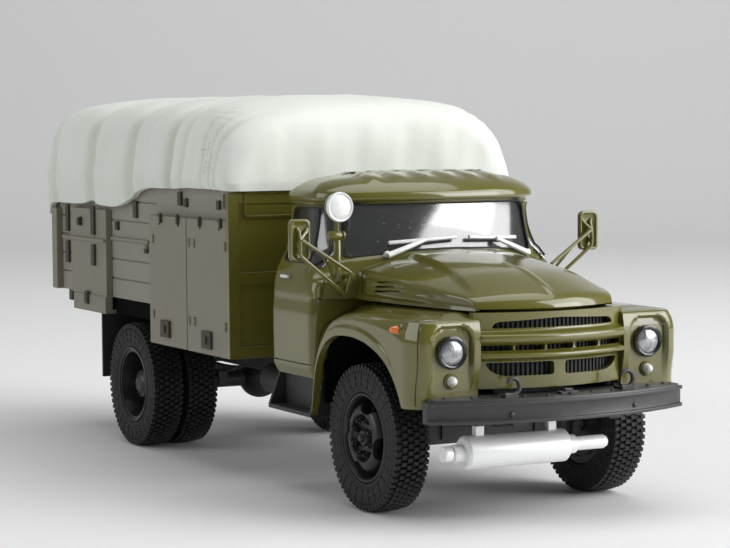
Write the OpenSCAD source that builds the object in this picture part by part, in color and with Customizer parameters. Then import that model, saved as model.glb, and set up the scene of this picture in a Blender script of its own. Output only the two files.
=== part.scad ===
// Scale model of a bonneted cargo truck with a covered service body.
// Millimetres. X points forward, Y to the truck's left and Z up. The origin is
// on the ground under the middle of the model.

/* [Overall] */
// Front axle to rear axle
wheelbase = 88.4; // [86:0.2:94]
// Front axle to the front of the bumper
front_overhang = 27.4; // [27:0.1:30]
// Rear axle to the back of the cover
rear_overhang = 43.8; // [42:0.1:46]
// Width over the mirrors
mirror_span = 59.2; // [58:0.1:62]

/* [Wheels] */
// Tyre diameter over the lugs
tyre_d = 23.7; // [23:0.1:24.2]
// Tyre width
tyre_w = 6.0; // [5.6:0.1:6.4]
// Height of the tread lugs
lug_h = 0.8; // [0.5:0.05:1]
// Lugs in one row round the tyre
lug_count = 26; // [20:1:32]
// Rim diameter where the tyre seats
rim_d = 14.2; // [13.6:0.1:14.8]
// Wall of the rim
rim_wall = 0.7; // [0.5:0.05:0.9]
// Middle of a front tyre from the centre line
front_half_track = 20.2; // [20:0.1:20.8]
// Middle of an outer rear tyre from the centre line
rear_half_track = 24.1; // [24:0.1:24.8]
// Middle to middle of twin rear tyres
twin_spacing = 7.0; // [6.8:0.1:7.4]
// Axle pin diameter
pin_d = 2.0; // [1.6:0.1:2.2]
// Radial clearance of the turning pin in its axle
pin_clear = 0.05; // [0.02:0.01:0.09]
// Air windows in a front wheel disc
vent_count = 5; // [4:1:6]

/* [Chassis] */
// Gap between the frame rails
rail_gap = 15.0; // [14:0.1:15.2]
// Width of a frame rail
rail_w = 2.5; // [2:0.1:3]
// Height of a frame rail
rail_h = 4.0; // [3.4:0.1:4.2]
// Top of the frame rails and underside of the cab
rail_top = 19.7; // [19.5:0.1:20.2]
// Wall of the rail channel
rail_wall = 0.7; // [0.5:0.05:1]
// Leaves in a spring
leaf_count = 3; // [2:1:3]
// Thickness of a spring leaf
leaf_t = 0.4; // [0.3:0.05:0.4]
// Half length of the longest spring leaf
leaf_half = 12; // [10:0.5:13]
// Stand screw hole diameter
stand_hole_d = 2.5; // [2:0.1:3]
// Distance between the two stand screw holes
stand_spacing = 115.2; // [112:0.1:118]
// Depth of a stand screw hole
stand_depth = 4.5; // [3:0.1:5]

/* [Front end] */
// Radius of the bumper's front face in plan
bumper_r = 51; // [46:1:60]
// Half width of the bumper
bumper_half_w = 23.2; // [22.8:0.1:24]
// Height of the bumper face
bumper_h = 3.3; // [2.8:0.1:3.6]
// Thickness of the bumper
bumper_t = 1.2; // [0.8:0.1:1.6]
// Headlamp bezel diameter
bezel_d = 5.1; // [4.6:0.1:5.4]
// Headlamp lens diameter
lens_d = 3.7; // [3.2:0.1:4]
// Middle of a headlamp from the centre line
lamp_y = 17.9; // [17.4:0.1:18.6]
// Height of the headlamps
lamp_z = 26.9; // [26.4:0.1:27.2]
// Silencer drum diameter
drum_d = 5.2; // [4:0.1:5.4]
// Silencer drum length
drum_len = 18.4; // [15:0.2:19]
// Vertical bars in the grille insert
bar_count = 30; // [20:1:36]
// Half width of the grille panel
grille_half_w = 13; // [12.6:0.1:13.2]

/* [Cab] */
// Wall of the cab, hood and fenders
shell_t = 1.1; // [0.8:0.05:1.3]
// Thickness of the window panes
glass_t = 0.5; // [0.4:0.05:0.6]
// Gap round a window pane
glass_gap = 0.02; // [0.01:0.01:0.05]
// Height of the steps' treads
step_z = 13.4; // [12.6:0.1:14.4]
// Mirror plate height
mirror_h = 6.8; // [6.2:0.1:7.2]
// Mirror plate width
mirror_w = 3.7; // [3.2:0.1:4.2]

/* [Body] */
// Half width over the lockers
body_half_w = 28; // [27.6:0.1:28.6]
// Depth of the lockers outside the planked sides
locker_proud = 1.6; // [1.2:0.1:2]
// Underside of the lockers
cabinet_low = 21; // [20.8:0.1:22]
// Top of the front lockers
cabinet_top = 44.9; // [43:0.1:46]
// Top of the bed floor
floor_z = 29.9; // [29.6:0.1:30.4]
// Thickness of the bed floor
floor_t = 2.0; // [1.4:0.1:2.2]
// Thickness of a planked side
board_t = 1.0; // [0.8:0.1:1.4]
// Top of the planked sides
board_top = 50.7; // [50.4:0.1:51]
// Planks in a side
plank_count = 6; // [4:1:8]
// Width and depth of the groove between planks
plank_groove = 0.3; // [0.2:0.05:0.4]
// Gap between the cab and the body
cab_gap = 7.6; // [6.5:0.1:8.5]
// Clear way between the rear tyres and the front lockers
wheel_space = 3.4; // [2.4:0.1:5]
// Height of the cover's crown
tarp_top = 67; // [64:0.2:70]
// Wall of the cover
tarp_t = 1.1; // [0.8:0.1:1.4]

/* [Hidden] */
$fn = 48;
eps = 0.05;
seat_gap = 0.1;
// Room between the tailboard and the cover hanging behind it
tail_gap = 0.9;
olive = [0.27, 0.28, 0.13];
drab = [0.34, 0.34, 0.23];
canvas_white = [0.87, 0.89, 0.83];
black = [0.07, 0.07, 0.075];
rubber = [0.10, 0.10, 0.10];
silver = [0.78, 0.79, 0.80];
strap_brown = [0.16, 0.14, 0.10];
clear = [0.80, 0.86, 0.88, 0.45];
amber = [0.90, 0.40, 0.05];

total_len = front_overhang + wheelbase + rear_overhang;
front_x = total_len / 2 - front_overhang;
rear_x = front_x - wheelbase;
tail_x = -total_len / 2;
axle_z = tyre_d / 2;
pin_r = pin_d / 2;
bore_r = pin_r + pin_clear;
rail_in = rail_gap / 2;
rail_out = rail_in + rail_w;
rail_low = rail_top - rail_h;
bumper_top = rail_top;
bumper_low = bumper_top - bumper_h;
// The centre of the bumper's arc lies behind its front face
bumper_cx = total_len / 2 - bumper_r;

// Cab places, from the front axle
cab_rear = front_x - 32.5;
pod_front = front_x + 19.3;
fender_y = 24.5;
hood_low = 32.8;
crest_z = 31.6;
// Body places
wall_t = 1.2;
body_front = cab_rear - cab_gap;
cabinet_back = rear_x + sqrt(pow(tyre_d / 2 + wheel_space, 2) - pow(cabinet_low - axle_z, 2));
plank_half_w = body_half_w - locker_proud;
board_low = floor_z - floor_t;
tail_board_x = tail_x + tarp_t + tail_gap;
tarp_half_w = plank_half_w + seat_gap + tarp_t;
tarp_front = body_front + tarp_t + seat_gap;
bearer_low = max(board_low - 2.5, tyre_d + 1.2);

// A box between two corners
module block(low, high) {
    translate(low) cube(high - low);
}

// The children on both sides of the truck
module both_sides() {
    children();
    mirror([0, 1, 0]) children();
}

// A round rod between two points
module rod(from, to, r) {
    span = to - from;
    length = norm(span);
    turn = atan2(span.y, span.x);
    lean = acos(span.z / length);
    translate(from) rotate([0, lean, turn]) cylinder(h = length, r = r);
}

// The children's XY profile extruded along +X, with profile x as Y and profile y as Z
module along_x(from, length) {
    translate([from, 0, 0]) rotate([90, 0, 90]) linear_extrude(length) children();
}

// The children's XY profile extruded along +Y, with profile x as X and profile y as Z
module along_y(from, length) {
    translate([0, from + length, 0]) rotate([90, 0, 0]) linear_extrude(length) children();
}

// A rectangle with round corners from its low to its high corner
module round_rect(low, high, r) {
    for (x = [low.x + r, high.x - r], y = [low.y + r, high.y - r]) translate([x, y]) circle(r);
    translate([low.x + r, low.y]) square([high.x - low.x - 2 * r, high.y - low.y]);
    translate([low.x, low.y + r]) square([high.x - low.x, high.y - low.y - 2 * r]);
}

function mean_point(row) = [for (k = [0:2])
    let (v = [for (p = row) p[k]]) v * [for (p = row) 1] / len(row)];

// A closed skin between an outer and an inner grid of points, row by row.
// With wrap each row is a closed ring, and the last row is then closed by a fan.
module skin(outer, inner, wrap) {
    rows = len(outer);
    cols = len(outer[0]);
    base = rows * cols;
    last = wrap ? cols - 1 : cols - 2;
    points = concat(
        [for (row = outer) each row], [for (row = inner) each row],
        [mean_point(outer[rows - 1]), mean_point(inner[rows - 1])]);
    faces = concat(
        [for (i = [0:rows - 2], j = [0:last])
            let (a = i * cols + j, b = i * cols + (j + 1) % cols, c = a + cols, d = b + cols)
            each [[a, c, d], [a, d, b], [base + a, base + d, base + c], [base + a, base + b, base + d]]],
        [for (j = [0:last])
            let (a = j, b = (j + 1) % cols) each [[a, b, base + b], [a, base + b, base + a]]],
        wrap
            ? [for (j = [0:last])
                let (a = (rows - 1) * cols + j, b = (rows - 1) * cols + (j + 1) % cols)
                each [[2 * base, b, a], [2 * base + 1, base + a, base + b]]]
            : concat(
                [for (j = [0:last])
                    let (a = (rows - 1) * cols + j, b = a + 1)
                    each [[b, a, base + a], [b, base + a, base + b]]],
                [for (i = [0:rows - 2])
                    let (a = i * cols, c = a + cols)
                    each [[c, a, base + a], [c, base + a, base + c]]],
                [for (i = [0:rows - 2])
                    let (a = i * cols + cols - 1, c = a + cols)
                    each [[a, c, base + c], [a, base + c, base + a]]]));
    polyhedron(points, faces);
}

// A point on a rounded corner curve: power 2 is an ellipse, higher is squarer
function corner(a, b, power, t) =
    [a * pow(abs(cos(t)), 2 / power), b * pow(abs(sin(t)), 2 / power) * sign(sin(t))];

// Cab plan rings from the sill to the roof. Columns: height, half width, front
// middle, depth of the front curve, its power, rear face, depth of the rear corners.
// Front and rear are measured back from the front axle.
cab_rings = [
    [rail_top, 23.4, 14.9, 2.5, 4, 32.3, 2.5],
    [21.6, 24.2, 14.9, 2.5, 4, 32.5, 2.5],
    [30, 24.3, 14.9, 2.5, 4, 32.5, 2.5],
    [hood_low, 24.1, 14.9, 2.5, 4, 32.5, 2.5],
    [hood_low + 0.2, 24.1, 12.6, 4.5, 3.4, 32.5, 2.5],
    [36.4, 23.7, 12.4, 5, 3, 32.5, 2.5],
    [38.4, 22.8, 11.8, 7.8, 2.3, 32.5, 2.5],
    [39.9, 22.0, 11.7, 8.6, 2.1, 32.5, 2.5],
    [40.6, 21.6, 12.2, 8.8, 2.1, 32.5, 2.5],
    [48.7, 20.6, 14.3, 8, 2.1, 32.4, 2.5],
    [49.0, 20.9, 12.7, 9.2, 2.15, 32.6, 2.5],
    [50.0, 20.9, 12.6, 9.2, 2.15, 32.6, 2.5],
    [51.2, 19.9, 13.8, 9, 2.2, 32.2, 3.5],
    [52.5, 17.3, 16.4, 8.5, 2.3, 30.8, 4.5],
    [53.3, 12.4, 20.0, 6, 2.4, 28.4, 5]];
cab_steps = 9;

// One cab ring moved inward by an inset
function cab_ring(c, inset) =
    let (half = c[1] - inset, front = front_x - c[2] - inset, rear = front_x - c[5] + inset)
    concat(
        [for (k = [-cab_steps:cab_steps])
            let (p = corner(c[3], half, c[4], 90 * k / cab_steps)) [front - c[3] + p.x, p.y, c[0]]],
        [for (k = [cab_steps - 1:-1:1 - cab_steps])
            let (p = corner(c[6], half, 2.6, 90 * k / cab_steps)) [rear + c[6] - p.x, p.y, c[0]]]);

// The roof is lowered by the inset too
function lowered(ring, drop) = [for (p = ring) [p.x, p.y, p.z > 49.5 ? p.z - drop : p.z]];

function cab_grid(inset) = [for (c = cab_rings) lowered(cab_ring(c, inset), inset)];

// Window outlines: low and high corners and the corner radius.
// Windscreen and rear window in Y and Z, side window in X and Z.
screen_low = [-17.6, 40.7];
screen_high = [17.6, 48.5];
screen_round = 1.6;
door_glass_low = [front_x - 29.6, 38.4];
door_glass_high = [front_x - 18.6, 47.9];
door_glass_round = 1.4;
rear_glass_low = [-9, 41];
rear_glass_high = [9, 47];
rear_glass_round = 1.2;

module windscreen_prism(gap) {
    along_x(front_x - 24, 20)
        round_rect([screen_low.x + gap, screen_low.y + gap], screen_high - [gap, gap], screen_round);
}

module side_window_prism(gap) {
    along_y(-30, 60)
        round_rect(door_glass_low + [gap, gap], door_glass_high - [gap, gap], door_glass_round);
}

module rear_window_prism(gap) {
    along_x(cab_rear - 1, 4)
        round_rect(rear_glass_low + [gap, gap], rear_glass_high - [gap, gap], rear_glass_round);
}

// A thin layer of the cab skin that the panes are cut from
module glass_layer() {
    depth = (shell_t - glass_t) / 2;
    skin(cab_grid(depth), cab_grid(depth + glass_t), true);
}

module cab_shell() {
    color(olive) difference() {
        skin(cab_grid(0), cab_grid(shell_t), true);
        windscreen_prism(0);
        side_window_prism(0);
        rear_window_prism(0);
    }
}

module cab_floor() {
    ring = cab_ring(cab_rings[0], shell_t + eps);
    color(olive) translate([0, 0, rail_top])
        linear_extrude(1) polygon([for (p = ring) [p.x, p.y]]);
}

module windscreen() {
    color(clear) intersection() {
        glass_layer();
        windscreen_prism(glass_gap);
    }
}

module side_windows() {
    color(clear) intersection() {
        glass_layer();
        side_window_prism(glass_gap);
    }
}

module rear_window() {
    color(clear) intersection() {
        glass_layer();
        rear_window_prism(glass_gap);
    }
}

module seat() {
    low = rail_top + 1;
    color(black) {
        block([cab_rear + 2.2, -17, low], [cab_rear + 10, 17, low + 8]);
        block([cab_rear + 2.2, -17, low + 8], [cab_rear + 4.4, 17, low + 18]);
    }
}

module dashboard() {
    color(black) along_y(-13, 26) polygon([
        [front_x - 17, 33.6], [front_x - 15, 33.2], [front_x - 14.2, 35], [front_x - 14.2, 38.2],
        [front_x - 16, 38.6], [front_x - 17, 37.2]]);
}

wheel_mid = [front_x - 19.6, 9, 38.2];
wheel_lean = 32;
module steering_wheel() {
    ring_r = 3.9;
    rim_r = 0.35;
    spoke = 0.25;
    color(black) translate(wheel_mid) rotate([0, -wheel_lean, 0]) {
        rotate_extrude() translate([ring_r, 0]) circle(rim_r);
        block([-spoke, -ring_r, -spoke], [spoke, ring_r, spoke]);
        translate([0, 0, -3.4]) cylinder(h = 3.8, r = 0.6);
    }
}

// Hood sections from the cab to the nose. Columns: place from the front axle,
// half width, height of the side's top, height of the crown, bow of the section
// at its sides.
hood_rows = [
    [-11.5, 17.0, 37.6, 40.3, 1.5],
    [-9, 16.9, 37.4, 40.1, 1.6],
    [-3, 16.6, 37.0, 39.6, 1.9],
    [4, 16.0, 36.4, 38.8, 2.3],
    [11, 15.0, 35.7, 37.8, 2.8],
    [16, 14.1, 35.2, 36.7, 3.3],
    [19.2, 13.4, 34.8, 35.6, 3.7],
    [20.8, 12.9, 34.3, 34.7, 3.8],
    [21.4, 12.6, 33.6, 33.8, 3.8]];
hood_steps = 12;

// Half of the hood's profile from the middle out: a domed crown, then a straight side
function hood_profile(row, inset) =
    let (w = row[1] - inset, side = row[2] - inset, crown = row[3] - inset)
    [for (k = [-hood_steps:hood_steps])
        let (s = abs(k) / hood_steps, over = s > 0.8 ? (s - 0.8) / 0.2 : 0, t = min(s / 0.8, 1))
        [w * (t - 0.06 * over * (1 - over)) * sign(k),
         over > 0 ? side - (side - hood_low) * over : crown - (crown - side) * pow(t, 2.4)]];

function hood_grid(inset) = [for (row = hood_rows)
    [for (p = hood_profile(row, inset))
        let (back = row[0] > 20 ? inset : 0)
        [front_x + row[0] - row[4] * pow(p.x / row[1], 2) - back, p.x, max(p.y, hood_low)]]];

module hood() {
    color(olive) skin(hood_grid(0), hood_grid(shell_t), false);
}

// Wheel arch over the front axle. Columns: place from the front axle, height of the lip.
arch_lip = [
    [-14.4, 14], [-13.6, 18.5], [-12.7, 22], [-11, 24.8], [-8.5, 26.8], [-5, 27.9], [-1, 28.1],
    [3.5, 27.7], [7.5, 26.6], [10.5, 25], [13, 22.6], [15, 19.8], [15.8, 18.4], [20, 18.4]];
// Crest of the fender. Columns: place from the front axle, height.
crest_line = [
    [-14.4, 21], [-13.6, 23.8], [-12.4, 25.7], [-10.3, 28.4], [-8, 30.2], [-4, 31.3], [0, crest_z]];
// Raised edge round the arch. Columns: place from the front axle, share of its depth.
flare_line = [[7, 1], [14, 0]];
flare_out = 0.35;
// Side rows from the lip to the crest. Columns: inset from the side, share of the
// way up to the crest, share of the raised edge.
side_rows = [[0, 0, 1], [0, 0.22, 1], [0, 0.38, 0], [0, 0.75, 0], [0.25, 0.88, 0], [0.9, 1, 0]];
// Top rows from the crest to the hood. Columns: inset from the side, share of the
// crest's fall that is left out, rise over the crest.
top_rows = [[2.2, 0.15, 0.25], [4.5, 0.5, 0.5], [7.5, 0.85, 0.8], [10.6, 1, 1]];
pod_corner_r = 3.5;
pod_inner_y = grille_half_w + 0.1;
fender_steps = 5;

// Points along the fender in plan at an inset: across the lamp face, round the
// corner and back along the side
function fender_path(d) =
    let (nose = pod_front - 0.5 * d, side = fender_y - d, r = max(pod_corner_r - 0.3 * d, 0.5))
    let (inner = min(pod_inner_y, side - r - 0.2))
    concat(
        [for (k = [0:fender_steps - 1]) [nose, inner + (side - r - inner) * k / fender_steps]],
        [for (k = [0:fender_steps])
            let (a = 90 * k / fender_steps) [nose - r + r * cos(a), side - r + r * sin(a)]],
        [for (a = [len(arch_lip) - 3:-1:0]) [min(front_x + arch_lip[a][0], nose - r - 0.1), side]]);

function lip_height(x) = lookup(x - front_x, arch_lip);
function crest_height(x) = lookup(x - front_x, crest_line);
function flare(x) = flare_out * lookup(x - front_x, flare_line);

function fender_grid(inset) = concat(
    [for (row = side_rows) [for (p = fender_path(row[0] + inset))
        let (lip = lip_height(p.x))
        [p.x, p.y + row[2] * flare(p.x), lip + row[1] * (crest_height(p.x) - lip - inset)]]],
    [for (row = top_rows) [for (p = fender_path(row[0] + inset))
        let (crest = crest_height(p.x))
        [p.x, p.y, crest + (crest_z - crest) * row[1] + row[2] - inset]]]);

module fender() {
    color(olive) skin(fender_grid(0), fender_grid(shell_t), false);
}

module fender_right() {
    mirror([0, 1, 0]) fender();
}

module fender_left() {
    fender();
}

// Grille panel: a bowed plate with a slot, a row of small openings and two low openings
grille_r = 30;
grille_front = front_x + 22;
grille_t = 1.2;
grille_low = 21;
grille_high = hood_low - 0.1;
// Low opening on each side. Columns: low edge, high edge, inner end, outer end, corner radius.
low_hole = [23.0, 25.0, 0.7, 11.6, 0.5];
low_hole_half = (low_hole[3] - low_hole[2]) / 2;
// Slot along the top. Columns: low edge, high edge, half width, corner radius.
grille_slot = [30.2, 31.6, 10.7, 0.6];
mould_low = 25.5;
mould_high = 29.3;
mould_proud = 1.0;
mould_holes = 5;

// A bowed plate with its front face at a radius about the grille's centre
module bowed_plate(face_r, thick, half_w, low, high) {
    translate([grille_front - grille_r, 0, low]) intersection() {
        difference() {
            cylinder(h = high - low, r = face_r, $fn = 96);
            translate([0, 0, -1]) cylinder(h = high - low + 2, r = face_r - thick, $fn = 96);
        }
        translate([0, -half_w, 0]) cube([face_r + 1, 2 * half_w, high - low]);
    }
}

module grille_panel() {
    color(olive) difference() {
        union() {
            bowed_plate(grille_r, grille_t, grille_half_w, grille_low, grille_high);
            bowed_plate(
                grille_r + mould_proud, mould_proud + 0.5, grille_half_w - 0.6, mould_low, mould_high);
        }
        along_x(front_x + 10, 20) {
            round_rect([-grille_slot[2], grille_slot[0]], [grille_slot[2], grille_slot[1]], grille_slot[3]);
            for (side = [-1, 1]) translate([side * (low_hole[2] + low_hole[3]) / 2, 0])
                round_rect([-low_hole_half, low_hole[0]], [low_hole_half, low_hole[1]], low_hole[4]);
            for (k = [0:mould_holes - 1]) translate([(k - (mould_holes - 1) / 2) * 4.4, 0])
                round_rect([-1.8, 26.5], [1.8, 27.4], 0.3);
        }
    }
}

module grille_insert() {
    back_r = grille_r - grille_t - seat_gap;
    span = 2 * asin(11.8 / back_r);
    bar = span / (2 * bar_count + 1);
    color(black) translate([grille_front - grille_r, 0, grille_low + 0.8])
        linear_extrude(grille_high - grille_low - 1.6) polygon(concat(
            [for (k = [0:2 * bar_count], e = [0, 1])
                let (a = -span / 2 + (k + e) * bar, r = k % 2 == 0 ? back_r : back_r - 0.5)
                r * [cos(a), sin(a)]],
            [for (k = [2 * bar_count:-1:0])
                let (a = -span / 2 + (k + 0.5) * bar) (back_r - 1.1) * [cos(a), sin(a)]]));
}

// Bumper: a bowed channel with a lip along its top and bottom, and a plate behind it
lip_proud = 0.5;
lip_h = 0.55;
plate_t = 0.4;
module bumper_arc(r_out, r_in, low, high) {
    translate([bumper_cx, 0, low]) intersection() {
        difference() {
            cylinder(h = high - low, r = r_out, $fn = 128);
            translate([0, 0, -1]) cylinder(h = high - low + 2, r = r_in, $fn = 128);
        }
        translate([0, -bumper_half_w, 0]) cube([r_out + 1, 2 * bumper_half_w, high - low]);
    }
}

module front_bumper() {
    face_r = bumper_r - lip_proud;
    color(black) {
        bumper_arc(face_r, face_r - bumper_t, bumper_low, bumper_top);
        bumper_arc(bumper_r, face_r - bumper_t, bumper_low, bumper_low + lip_h);
        bumper_arc(bumper_r, face_r - bumper_t, bumper_top - lip_h, bumper_top);
        translate([0, 0, bumper_top]) linear_extrude(plate_t) intersection() {
            translate([bumper_cx, 0]) circle(bumper_r - 0.2, $fn = 128);
            translate([front_x + 19.4, -bumper_half_w + 1]) square([12, 2 * bumper_half_w - 2]);
        }
    }
}

hook_y = 10.2;
module tow_hooks() {
    ring_r = 1.15;
    wire_r = 0.35;
    low = bumper_top + plate_t;
    color(black) both_sides() translate([front_x + 23.8, hook_y, low]) {
        block([-1.4, -0.7, 0], [1.0, 0.7, 0.35]);
        translate([0, 0, ring_r + wire_r + eps]) rotate([90, -70, 0])
            rotate_extrude(angle = 290) translate([ring_r, 0]) circle(wire_r, $fn = 24);
    }
}

// Silencer profile along the truck's width. Columns: radius, place from the drum's right end.
drum_x = front_x + 20;
drum_z = 11.5;
drum_right = -16.3;
module silencer() {
    r = drum_d / 2;
    left = drum_len;
    color(silver) {
        translate([drum_x, drum_right, drum_z]) rotate([-90, 0, 0]) rotate_extrude() polygon([
            [0, -3.5], [1.2, -3.5], [1.2, -2.2], [0.95, -2.2], [0.95, -1.8], [1.35, -1.8], [1.35, 0],
            [r - 0.4, 0], [r, 0.4], [r, left - 0.4], [r - 0.4, left], [1.5, left], [1.5, left + 1.6],
            [1.1, left + 1.6], [1.1, left + 7.0], [0.8, left + 7.6], [0, left + 7.8]]);
        for (y = [drum_right + 2.8, drum_right + drum_len - 2.6])
            block([drum_x - 0.6, y - 0.7, drum_z + r - 0.4], [drum_x + 0.6, y + 0.7, rail_low]);
    }
}

// Cross members. Columns: place from the front axle, half length along the truck, underside, top.
cross_low_top = rail_low + 2;
cross_high_low = rail_top - 1.8;
front_boss = stand_spacing / 2 - front_x;
rear_boss = -stand_spacing / 2 - front_x;
cross_members = [
    [front_boss, 1.5, rail_low, cross_low_top],
    [-30, 1, cross_high_low, rail_top],
    [-44, 1, cross_high_low, rail_top],
    [-58, 1, cross_high_low, rail_top],
    [-72, 1, cross_high_low, rail_top],
    [rear_boss, 1.5, rail_low, rail_top],
    [tail_x - front_x + 5.5, 1, rail_low, rail_top]];
boss_r = 2.4;
boss_low = rail_low - 2.7;

module rail() {
    front = bumper_cx + sqrt(pow(bumper_r - lip_proud - bumper_t, 2) - pow(rail_out, 2)) - eps;
    back = tail_x + 4.5;
    difference() {
        block([back, rail_in, rail_low], [front, rail_out, rail_top]);
        block(
            [back - 1, rail_in - 1, rail_low + rail_wall],
            [front - 6, rail_out - rail_wall, rail_top - rail_wall]);
    }
}

module frame() {
    color(black) difference() {
        union() {
            both_sides() rail();
            for (c = cross_members)
                block(
                    [front_x + c[0] - c[1], -rail_in - rail_wall, c[2]],
                    [front_x + c[0] + c[1], rail_in + rail_wall, c[3]]);
            block([drum_x - 2, -15, rail_low], [drum_x + 2, 15, rail_low + 2.3]);
            for (x = [front_boss, rear_boss])
                translate([front_x + x, 0, boss_low]) cylinder(h = cross_low_top - boss_low, r = boss_r);
        }
        for (x = [front_boss, rear_boss])
            translate([front_x + x, 0, boss_low - 1]) cylinder(h = stand_depth + 1, r = stand_hole_d / 2);
    }
}

// Springs sit on a pad over the axle
spring_y = (rail_in + rail_out) / 2;
spring_w = rail_w - 0.7;
pad_top = axle_z + 1.75;
spring_rise = rail_low - seat_gap - pad_top - leaf_count * leaf_t;
module leaf_spring() {
    curve_r = (leaf_half * leaf_half + spring_rise * spring_rise) / (2 * spring_rise);
    along_y(-spring_w / 2, spring_w) for (k = [0:leaf_count - 1]) {
        half = leaf_half * (1 - 0.27 * (leaf_count - 1 - k));
        low = pad_top + k * leaf_t;
        intersection() {
            difference() {
                translate([0, low + curve_r]) circle(curve_r, $fn = 200);
                translate([0, low + leaf_t + curve_r]) circle(curve_r, $fn = 200);
            }
            translate([-half, low - 1]) square([2 * half, spring_rise + 3]);
        }
    }
}

module leaf_springs() {
    color(black) both_sides() for (x = [front_x, rear_x]) translate([x, spring_y, 0]) leaf_spring();
}

// Pad of one spring on an axle
module spring_pad(x) {
    block([x - 2, spring_y - spring_w / 2, axle_z - 1], [x + 2, spring_y + spring_w / 2, pad_top]);
}

knuckle_y = front_half_track - tyre_w / 2 - 3;
module front_axle() {
    color(black) difference() {
        union() {
            block([front_x - 1.6, -knuckle_y, axle_z - 1.75], [front_x + 1.6, knuckle_y, pad_top]);
            both_sides() {
                translate([front_x, knuckle_y, axle_z - 2.4]) cylinder(h = 4.8, r = 1.9);
                spring_pad(front_x);
            }
        }
        translate([front_x, -30, axle_z]) rotate([-90, 0, 0]) cylinder(h = 60, r = bore_r);
    }
}

module rear_axle() {
    half = rear_half_track - twin_spacing - tyre_w / 2 - 1.2;
    color(black) difference() {
        union() {
            translate([rear_x, -half, axle_z]) rotate([-90, 0, 0]) cylinder(h = 2 * half, r = 1.7);
            translate([rear_x, 0, axle_z]) sphere(4.2);
            both_sides() spring_pad(rear_x);
        }
        translate([rear_x, -30, axle_z]) rotate([-90, 0, 0]) cylinder(h = 60, r = bore_r);
    }
}

gearbox_back = front_x - 26;
shaft_r = 0.8;
module engine() {
    half = rail_in - 0.7;
    low = cross_low_top + 0.3;
    color(black) {
        block([front_x - 10, -half, low], [front_x + 13, half, low + 12]);
        block([gearbox_back, -3.5, rail_low], [front_x - 10, 3.5, rail_top - 0.2]);
    }
}

module drive_shaft() {
    color(black) rod([gearbox_back - 0.2, 0, rail_low + 1.2], [rear_x + 4.6, 0, axle_z + 0.8], shaft_r);
}

// Fuel tank on the left and air receiver on the right, each on brackets from its rail
tank_front = front_x - 34;
tank_back = front_x - 52;
module fuel_tank() {
    color(black) {
        along_x(tank_back, tank_front - tank_back) round_rect([12.5, 11], [22, 19.6], 1.8);
        for (x = [tank_back + 4, tank_front - 4]) block([x - 0.6, rail_out, 15.8], [x + 0.6, 13, 17.2]);
    }
}

module air_receiver() {
    r = 2.7;
    y = -15.5;
    z = 16.2;
    color(black) {
        translate([tank_back + 3, y, z]) rotate([0, 90, 0]) cylinder(h = 14, r = r);
        for (x = [tank_back + 6, tank_back + 14]) block([x - 0.5, y, z], [x + 0.5, -rail_out, z + 1]);
    }
}

module tow_hitch() {
    z = rail_low + 2;
    back = tail_x + 4.5;
    color(black) {
        block([back - 0.6, -2.2, z - 1.6], [back, 2.2, z + 1.6]);
        translate([back - 1.8, 0, z]) rotate([90, 0, 0])
            rotate_extrude() translate([1.2, 0]) circle(0.4, $fn = 24);
    }
}

// Headlamps and small lamps stand on the flat lamp face
module headlamp_bezels() {
    inner = lens_d / 2 + glass_gap;
    color(black) both_sides() translate([pod_front, lamp_y, lamp_z]) rotate([0, 90, 0])
        rotate_extrude() polygon([
            [inner, 0], [bezel_d / 2, 0], [bezel_d / 2, 0.5], [bezel_d / 2 - 0.3, 0.8], [inner, 0.5]]);
}

module headlamp_lenses() {
    dome_r = 3.6;
    color(clear) both_sides() translate([pod_front, lamp_y, lamp_z]) rotate([0, 90, 0]) intersection() {
        cylinder(h = 3, r = lens_d / 2);
        translate([0, 0, 0.75 - dome_r]) sphere(dome_r, $fn = 96);
    }
}

module parking_lamps() {
    color(canvas_white) both_sides() translate([pod_front, lamp_y, lamp_z - 4.4]) rotate([0, 90, 0]) {
        cylinder(h = 0.6, r = 0.8);
        translate([0, 0, 0.75]) sphere(0.7);
    }
}

module side_indicators() {
    color(amber) both_sides() translate([front_x + 14.5, fender_y - 0.12, 30.3]) rotate([-90, 0, 0]) {
        cylinder(h = 0.5, r = 0.6);
        translate([0, 0, 0.6]) sphere(0.5);
    }
}

step_front = front_x - 15.6;
step_back = cab_rear + 0.5;
step_out = 24.5;
step_in = 20.8;
step_t = 0.7;
module side_steps() {
    color(black) both_sides() {
        block([step_back, step_in, step_z], [step_front, step_out, step_z + step_t]);
        block([step_back, step_in, step_z + step_t], [step_front, step_in + step_t, rail_top]);
        for (x = [step_back, step_front - step_t])
            along_x(x, step_t) polygon([
                [step_in + step_t, step_z + step_t], [step_out, step_z + step_t], [step_in + 1.6, rail_top],
                [step_in + step_t, rail_top]]);
    }
}

// Mirrors on bent tube brackets from the cowl
mirror_z = 42.9;
mirror_x = front_x - 12.7;
tube_r = 0.4;
// Where the bracket stands on the cowl, across the truck
bracket_foot_y = 19.55;
module mirrors() {
    mid_y = mirror_span / 2 - mirror_w / 2;
    half = [mirror_w, mirror_h] / 2;
    foot = [front_x - 12.8, bracket_foot_y, 34.6];
    start = foot + [0.4, 0, 0];
    head = [mirror_x + 0.9, mid_y - 0.4, mirror_z - 2.5];
    rise = [0, 0, 3.0];
    color(olive) both_sides() {
        along_x(mirror_x - 0.6, 1.1) translate([mid_y, mirror_z]) round_rect(-half, half, 0.7);
        rod(start, head, tube_r);
        rod(start + rise, head + rise, tube_r);
        block(foot - [0.5, 0.4, 0.8], foot + rise + [0.6, 0.4, 0.8]);
        block(head - [0.6, 0.5, 0.8], head + rise + [0.5, 0.5, 0.8]);
    }
}

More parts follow.
